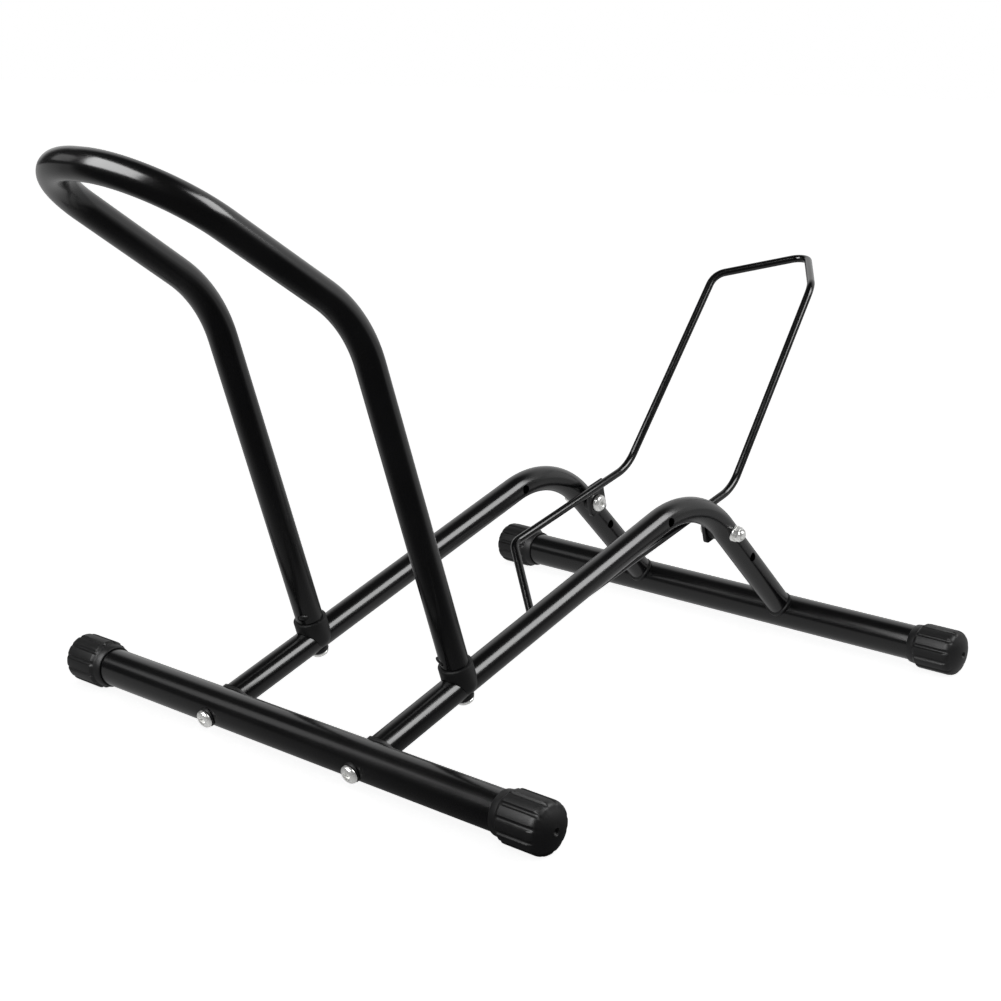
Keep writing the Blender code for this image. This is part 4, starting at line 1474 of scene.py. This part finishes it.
@dataclass(frozen=True)
class SoftBox:
    """A soft box of the studio, which lights the stand and shows in its gloss.

    Args:
        name: Name of the box.
        azimuth: Direction of the box from the stand, from Y towards X.
        elevation: Height of that direction.
        slide: Offset of its middle across and up, in its own plane.
        size: Width and height.
        shine: Radiance of the box.
        light: Share of it that lights matt surfaces.
        gloss: Share of it that the gloss sees.
        distance: Distance from the point it is aimed at.
        aim_height: Height of that point over the stand's middle.
    """

    name: str
    azimuth: float
    elevation: float
    slide: tuple[float, float]
    size: tuple[float, float]
    shine: float
    light: float
    gloss: float = 1.0
    distance: float = 1.5
    aim_height: float = 0.15

    def build(self) -> None:
        """Hang the box, as one lamp for the gloss and one for matt surfaces."""
        a, e = math.radians(self.azimuth), math.radians(self.elevation)
        out = Vector((math.sin(a) * math.cos(e), math.cos(a) * math.cos(e), math.sin(e)))
        across = Vector((math.cos(a), -math.sin(a), 0))
        up = across.cross(out)
        place = Z_AXIS * self.aim_height + out * self.distance
        place += across * self.slide[0] + up * self.slide[1]
        facing = Matrix((-across, up, out)).transposed().to_4x4()
        for use, share in (("gloss", self.gloss), ("matt", self.light)):
            if not share:
                continue
            data = bpy.data.lights.new(f"{self.name}_{use}", "AREA")
            data.shape = "RECTANGLE"
            data.size, data.size_y = self.size
            data.energy = self.shine * math.pi * data.size * data.size_y * share
            lamp = bpy.data.objects.new(data.name, data)
            lamp.matrix_world = Matrix.Translation(place) @ facing
            lamp.visible_camera = False
            lamp.visible_diffuse = use == "matt"
            lamp.visible_glossy = use == "gloss"
            bpy.context.scene.collection.objects.link(lamp)


@dataclass
class Studio:
    """Floor, lamps, world and camera."""

    centre: tuple[float, float, float] = (0.8497, -0.9565, 0.4435)
    azimuth: float = 41.78
    elevation: float = 13.674
    roll: float = -1.249
    focal_px: float = 1934.082
    image_px: int = 1001
    sensor_mm: float = 36.0
    floor_glow: float = 0.90
    floor_near: float = 0.50
    floor_far: float = 0.04
    room_matt: float = 0.16
    room_dim: float = 0.06
    backdrop: float = 0.85
    sheet_way: tuple[float, float, float] = (0.666, -0.746, 0.0)
    sheet_from: float = -0.05
    sheet_to: float = 0.30
    backdrop_way: tuple[float, float, float] = (-0.26, 0.966, 0.0)
    backdrop_foot: tuple[float, float] = (-0.10, 0.12)
    backdrop_top: tuple[float, float] = (0.92, 0.72)
    backdrop_side: tuple[float, float] = (0.32, 0.58)
    boxes: tuple[SoftBox, ...] = (
        SoftBox("right_box", 58.0, 44.0, (0.15, -0.12), (0.90, 0.85), 9.5, 0.13),
        SoftBox("front_box", 188.0, 37.0, (-0.13, 0.0), (1.20, 1.00), 12.0, 0.13),
        SoftBox("fill_card", -120.0, 29.0, (-0.22, -0.08), (0.45, 0.50), 1.1, 0.5),
        # Light that the white floor throws back up
        SoftBox("floor_bounce", 0.0, -90.0, (0.0, 0.0), (1.8, 1.8), 0.9, 1.0, 0.0, 0.148),
    )

    def camera(self) -> None:
        """Set the camera where the photograph was taken from."""
        a, e, r = (math.radians(v) for v in (self.azimuth, self.elevation, self.roll))
        ahead = Vector((-math.sin(a) * math.cos(e), math.cos(a) * math.cos(e), -math.sin(e)))
        right = Vector((math.cos(a), math.sin(a), 0))
        down = ahead.cross(right)
        turned_right = right * math.cos(r) + down * math.sin(r)
        turned_down = down * math.cos(r) - right * math.sin(r)
        data = bpy.data.cameras.new("photo_camera")
        data.sensor_width = self.sensor_mm
        data.lens = self.sensor_mm * self.focal_px / self.image_px
        data.clip_start = 0.05
        data.clip_end = 60.0
        camera = bpy.data.objects.new("photo_camera", data)
        turn = Matrix((turned_right, -turned_down, -ahead)).transposed().to_4x4()
        camera.matrix_world = Matrix.Translation(self.centre) @ turn
        bpy.context.scene.collection.objects.link(camera)
        bpy.context.scene.camera = camera

    def seen(self, tree: bpy.types.NodeTree) -> tuple[bpy.types.NodeSocket, bpy.types.NodeSocket]:
        """Tell camera rays, and glossy or transmitted rays, from the rest.

        Args:
            tree: Node tree the nodes go into.

        Returns:
            The share of camera rays, and the share of glossy or transmitted rays.
        """
        rays = add_node(tree, "ShaderNodeLightPath").outputs
        shiny = add_node(tree, "ShaderNodeMath", {"operation": "MAXIMUM"}, n0=rays["Is Glossy Ray"],
                         n1=rays["Is Transmission Ray"])
        return rays["Is Camera Ray"], shiny.outputs[0]

    def floor(self) -> None:
        """Lay the pale floor, white to the camera but for the stand's soft shadow."""
        deselect()
        bpy.ops.mesh.primitive_circle_add(vertices=96, radius=14.0, fill_type="NGON", location=(0, 0, 0))
        ground = bpy.context.object
        ground.name = "pale_floor"
        # Painted studio floor: white and quite matt, with a cloud too faint to see
        made, shader = blank_material("white_studio_floor")
        tree = made.node_tree
        place = add_node(tree, "ShaderNodeTexCoord").outputs["Object"]
        cloud = add_node(tree, "ShaderNodeTexNoise", {"in:Scale": 9.0, "in:Detail": 2.0}, Vector=place)
        tint = add_node(tree, "ShaderNodeMix", {"data_type": "RGBA", "in:6": linear("f2f2f2"),
                                                "in:7": linear("eeeeee")}, n0=cloud.outputs["Fac"])
        tree.links.new(tint.outputs["Result"], shader.inputs["Base Color"])
        shader.inputs["Roughness"].default_value = 0.9
        shader.inputs["Specular IOR Level"].default_value = 0.0
        camera, shiny = self.seen(tree)
        share = add_node(tree, "ShaderNodeMath", {"operation": "MULTIPLY", "in:1": self.floor_glow}, n0=camera)
        glow = add_node(tree, "ShaderNodeEmission", {"in:Color": WHITE}, Strength=share.outputs[0])
        lit = add_node(tree, "ShaderNodeAddShader", None, n0=shader.outputs[0], n1=glow.outputs[0])
        # In the gloss the floor under the stand is bright, and towards the camera it is dim
        ahead = add_node(tree, "ShaderNodeVectorMath", {"operation": "DOT_PRODUCT", "in:1": self.sheet_way},
                         n0=place)
        sheet = add_node(tree, "ShaderNodeMapRange",
                         {"interpolation_type": "SMOOTHSTEP", "in:From Min": self.sheet_from,
                          "in:From Max": self.sheet_to, "in:To Min": self.floor_near,
                          "in:To Max": self.floor_far}, Value=ahead.outputs["Value"])
        mirrored = add_node(tree, "ShaderNodeEmission", {"in:Color": WHITE}, Strength=sheet.outputs["Result"])
        both = add_node(tree, "ShaderNodeMixShader", None, n0=shiny, n1=lit.outputs[0], n2=mirrored.outputs[0])
        tree.links.new(both.outputs[0], tree.nodes["Material Output"].inputs["Surface"])
        ground.data.materials.append(made)

    def world(self) -> None:
        """Light the room softly, white to the camera, with a white backdrop behind the stand in the gloss."""
        world = bpy.data.worlds.new("white_room")
        bpy.context.scene.world = world
        world.use_nodes = True
        tree = world.node_tree
        tree.nodes.clear()
        camera, shiny = self.seen(tree)
        way = add_node(tree, "ShaderNodeTexCoord").outputs["Generated"]
        behind = add_node(tree, "ShaderNodeVectorMath",
                          {"operation": "DOT_PRODUCT", "in:1": self.backdrop_way}, n0=way).outputs["Value"]
        height = add_node(tree, "ShaderNodeSeparateXYZ", None, Vector=way).outputs["Z"]
        # The backdrop ends softly at its sides, near the floor and above
        sheet = None
        for value, (none, full) in ((height, self.backdrop_foot), (height, self.backdrop_top),
                                    (behind, self.backdrop_side)):
            edge = add_node(tree, "ShaderNodeMapRange", {"interpolation_type": "SMOOTHSTEP", "in:From Min": none,
                                                         "in:From Max": full}, Value=value).outputs["Result"]
            sheet = edge if sheet is None else add_node(tree, "ShaderNodeMath", {"operation": "MULTIPLY"},
                                                        n0=sheet, n1=edge).outputs[0]
        gloss = add_node(tree, "ShaderNodeMapRange", {"in:To Min": self.room_dim, "in:To Max": self.backdrop},
                         Value=sheet)
        level = add_node(tree, "ShaderNodeMix", {"in:2": self.room_matt}, n0=shiny, n3=gloss.outputs["Result"])
        level = add_node(tree, "ShaderNodeMix", {"in:3": 1.0}, n0=camera, n2=level.outputs["Result"])
        back = add_node(tree, "ShaderNodeBackground", {"in:Color": WHITE}, Strength=level.outputs["Result"])
        add_node(tree, "ShaderNodeOutputWorld", None, Surface=back.outputs[0])

    def build(self) -> None:
        """Set the scene around the stand."""
        bpy.context.scene.view_settings.view_transform = "Standard"
        self.camera()
        self.floor()
        self.world()
        for box in self.boxes:
            box.build()


def main() -> None:
    """Build the stand's looks piece by piece."""
    logging.basicConfig(level=logging.INFO, format="%(message)s")
    Studio().build()
    for part in (Feet(), Rails(), WheelHoop(), Cradle(), Joints()):
        part.build()
    deselect()


if __name__ == "__main__":
    main()
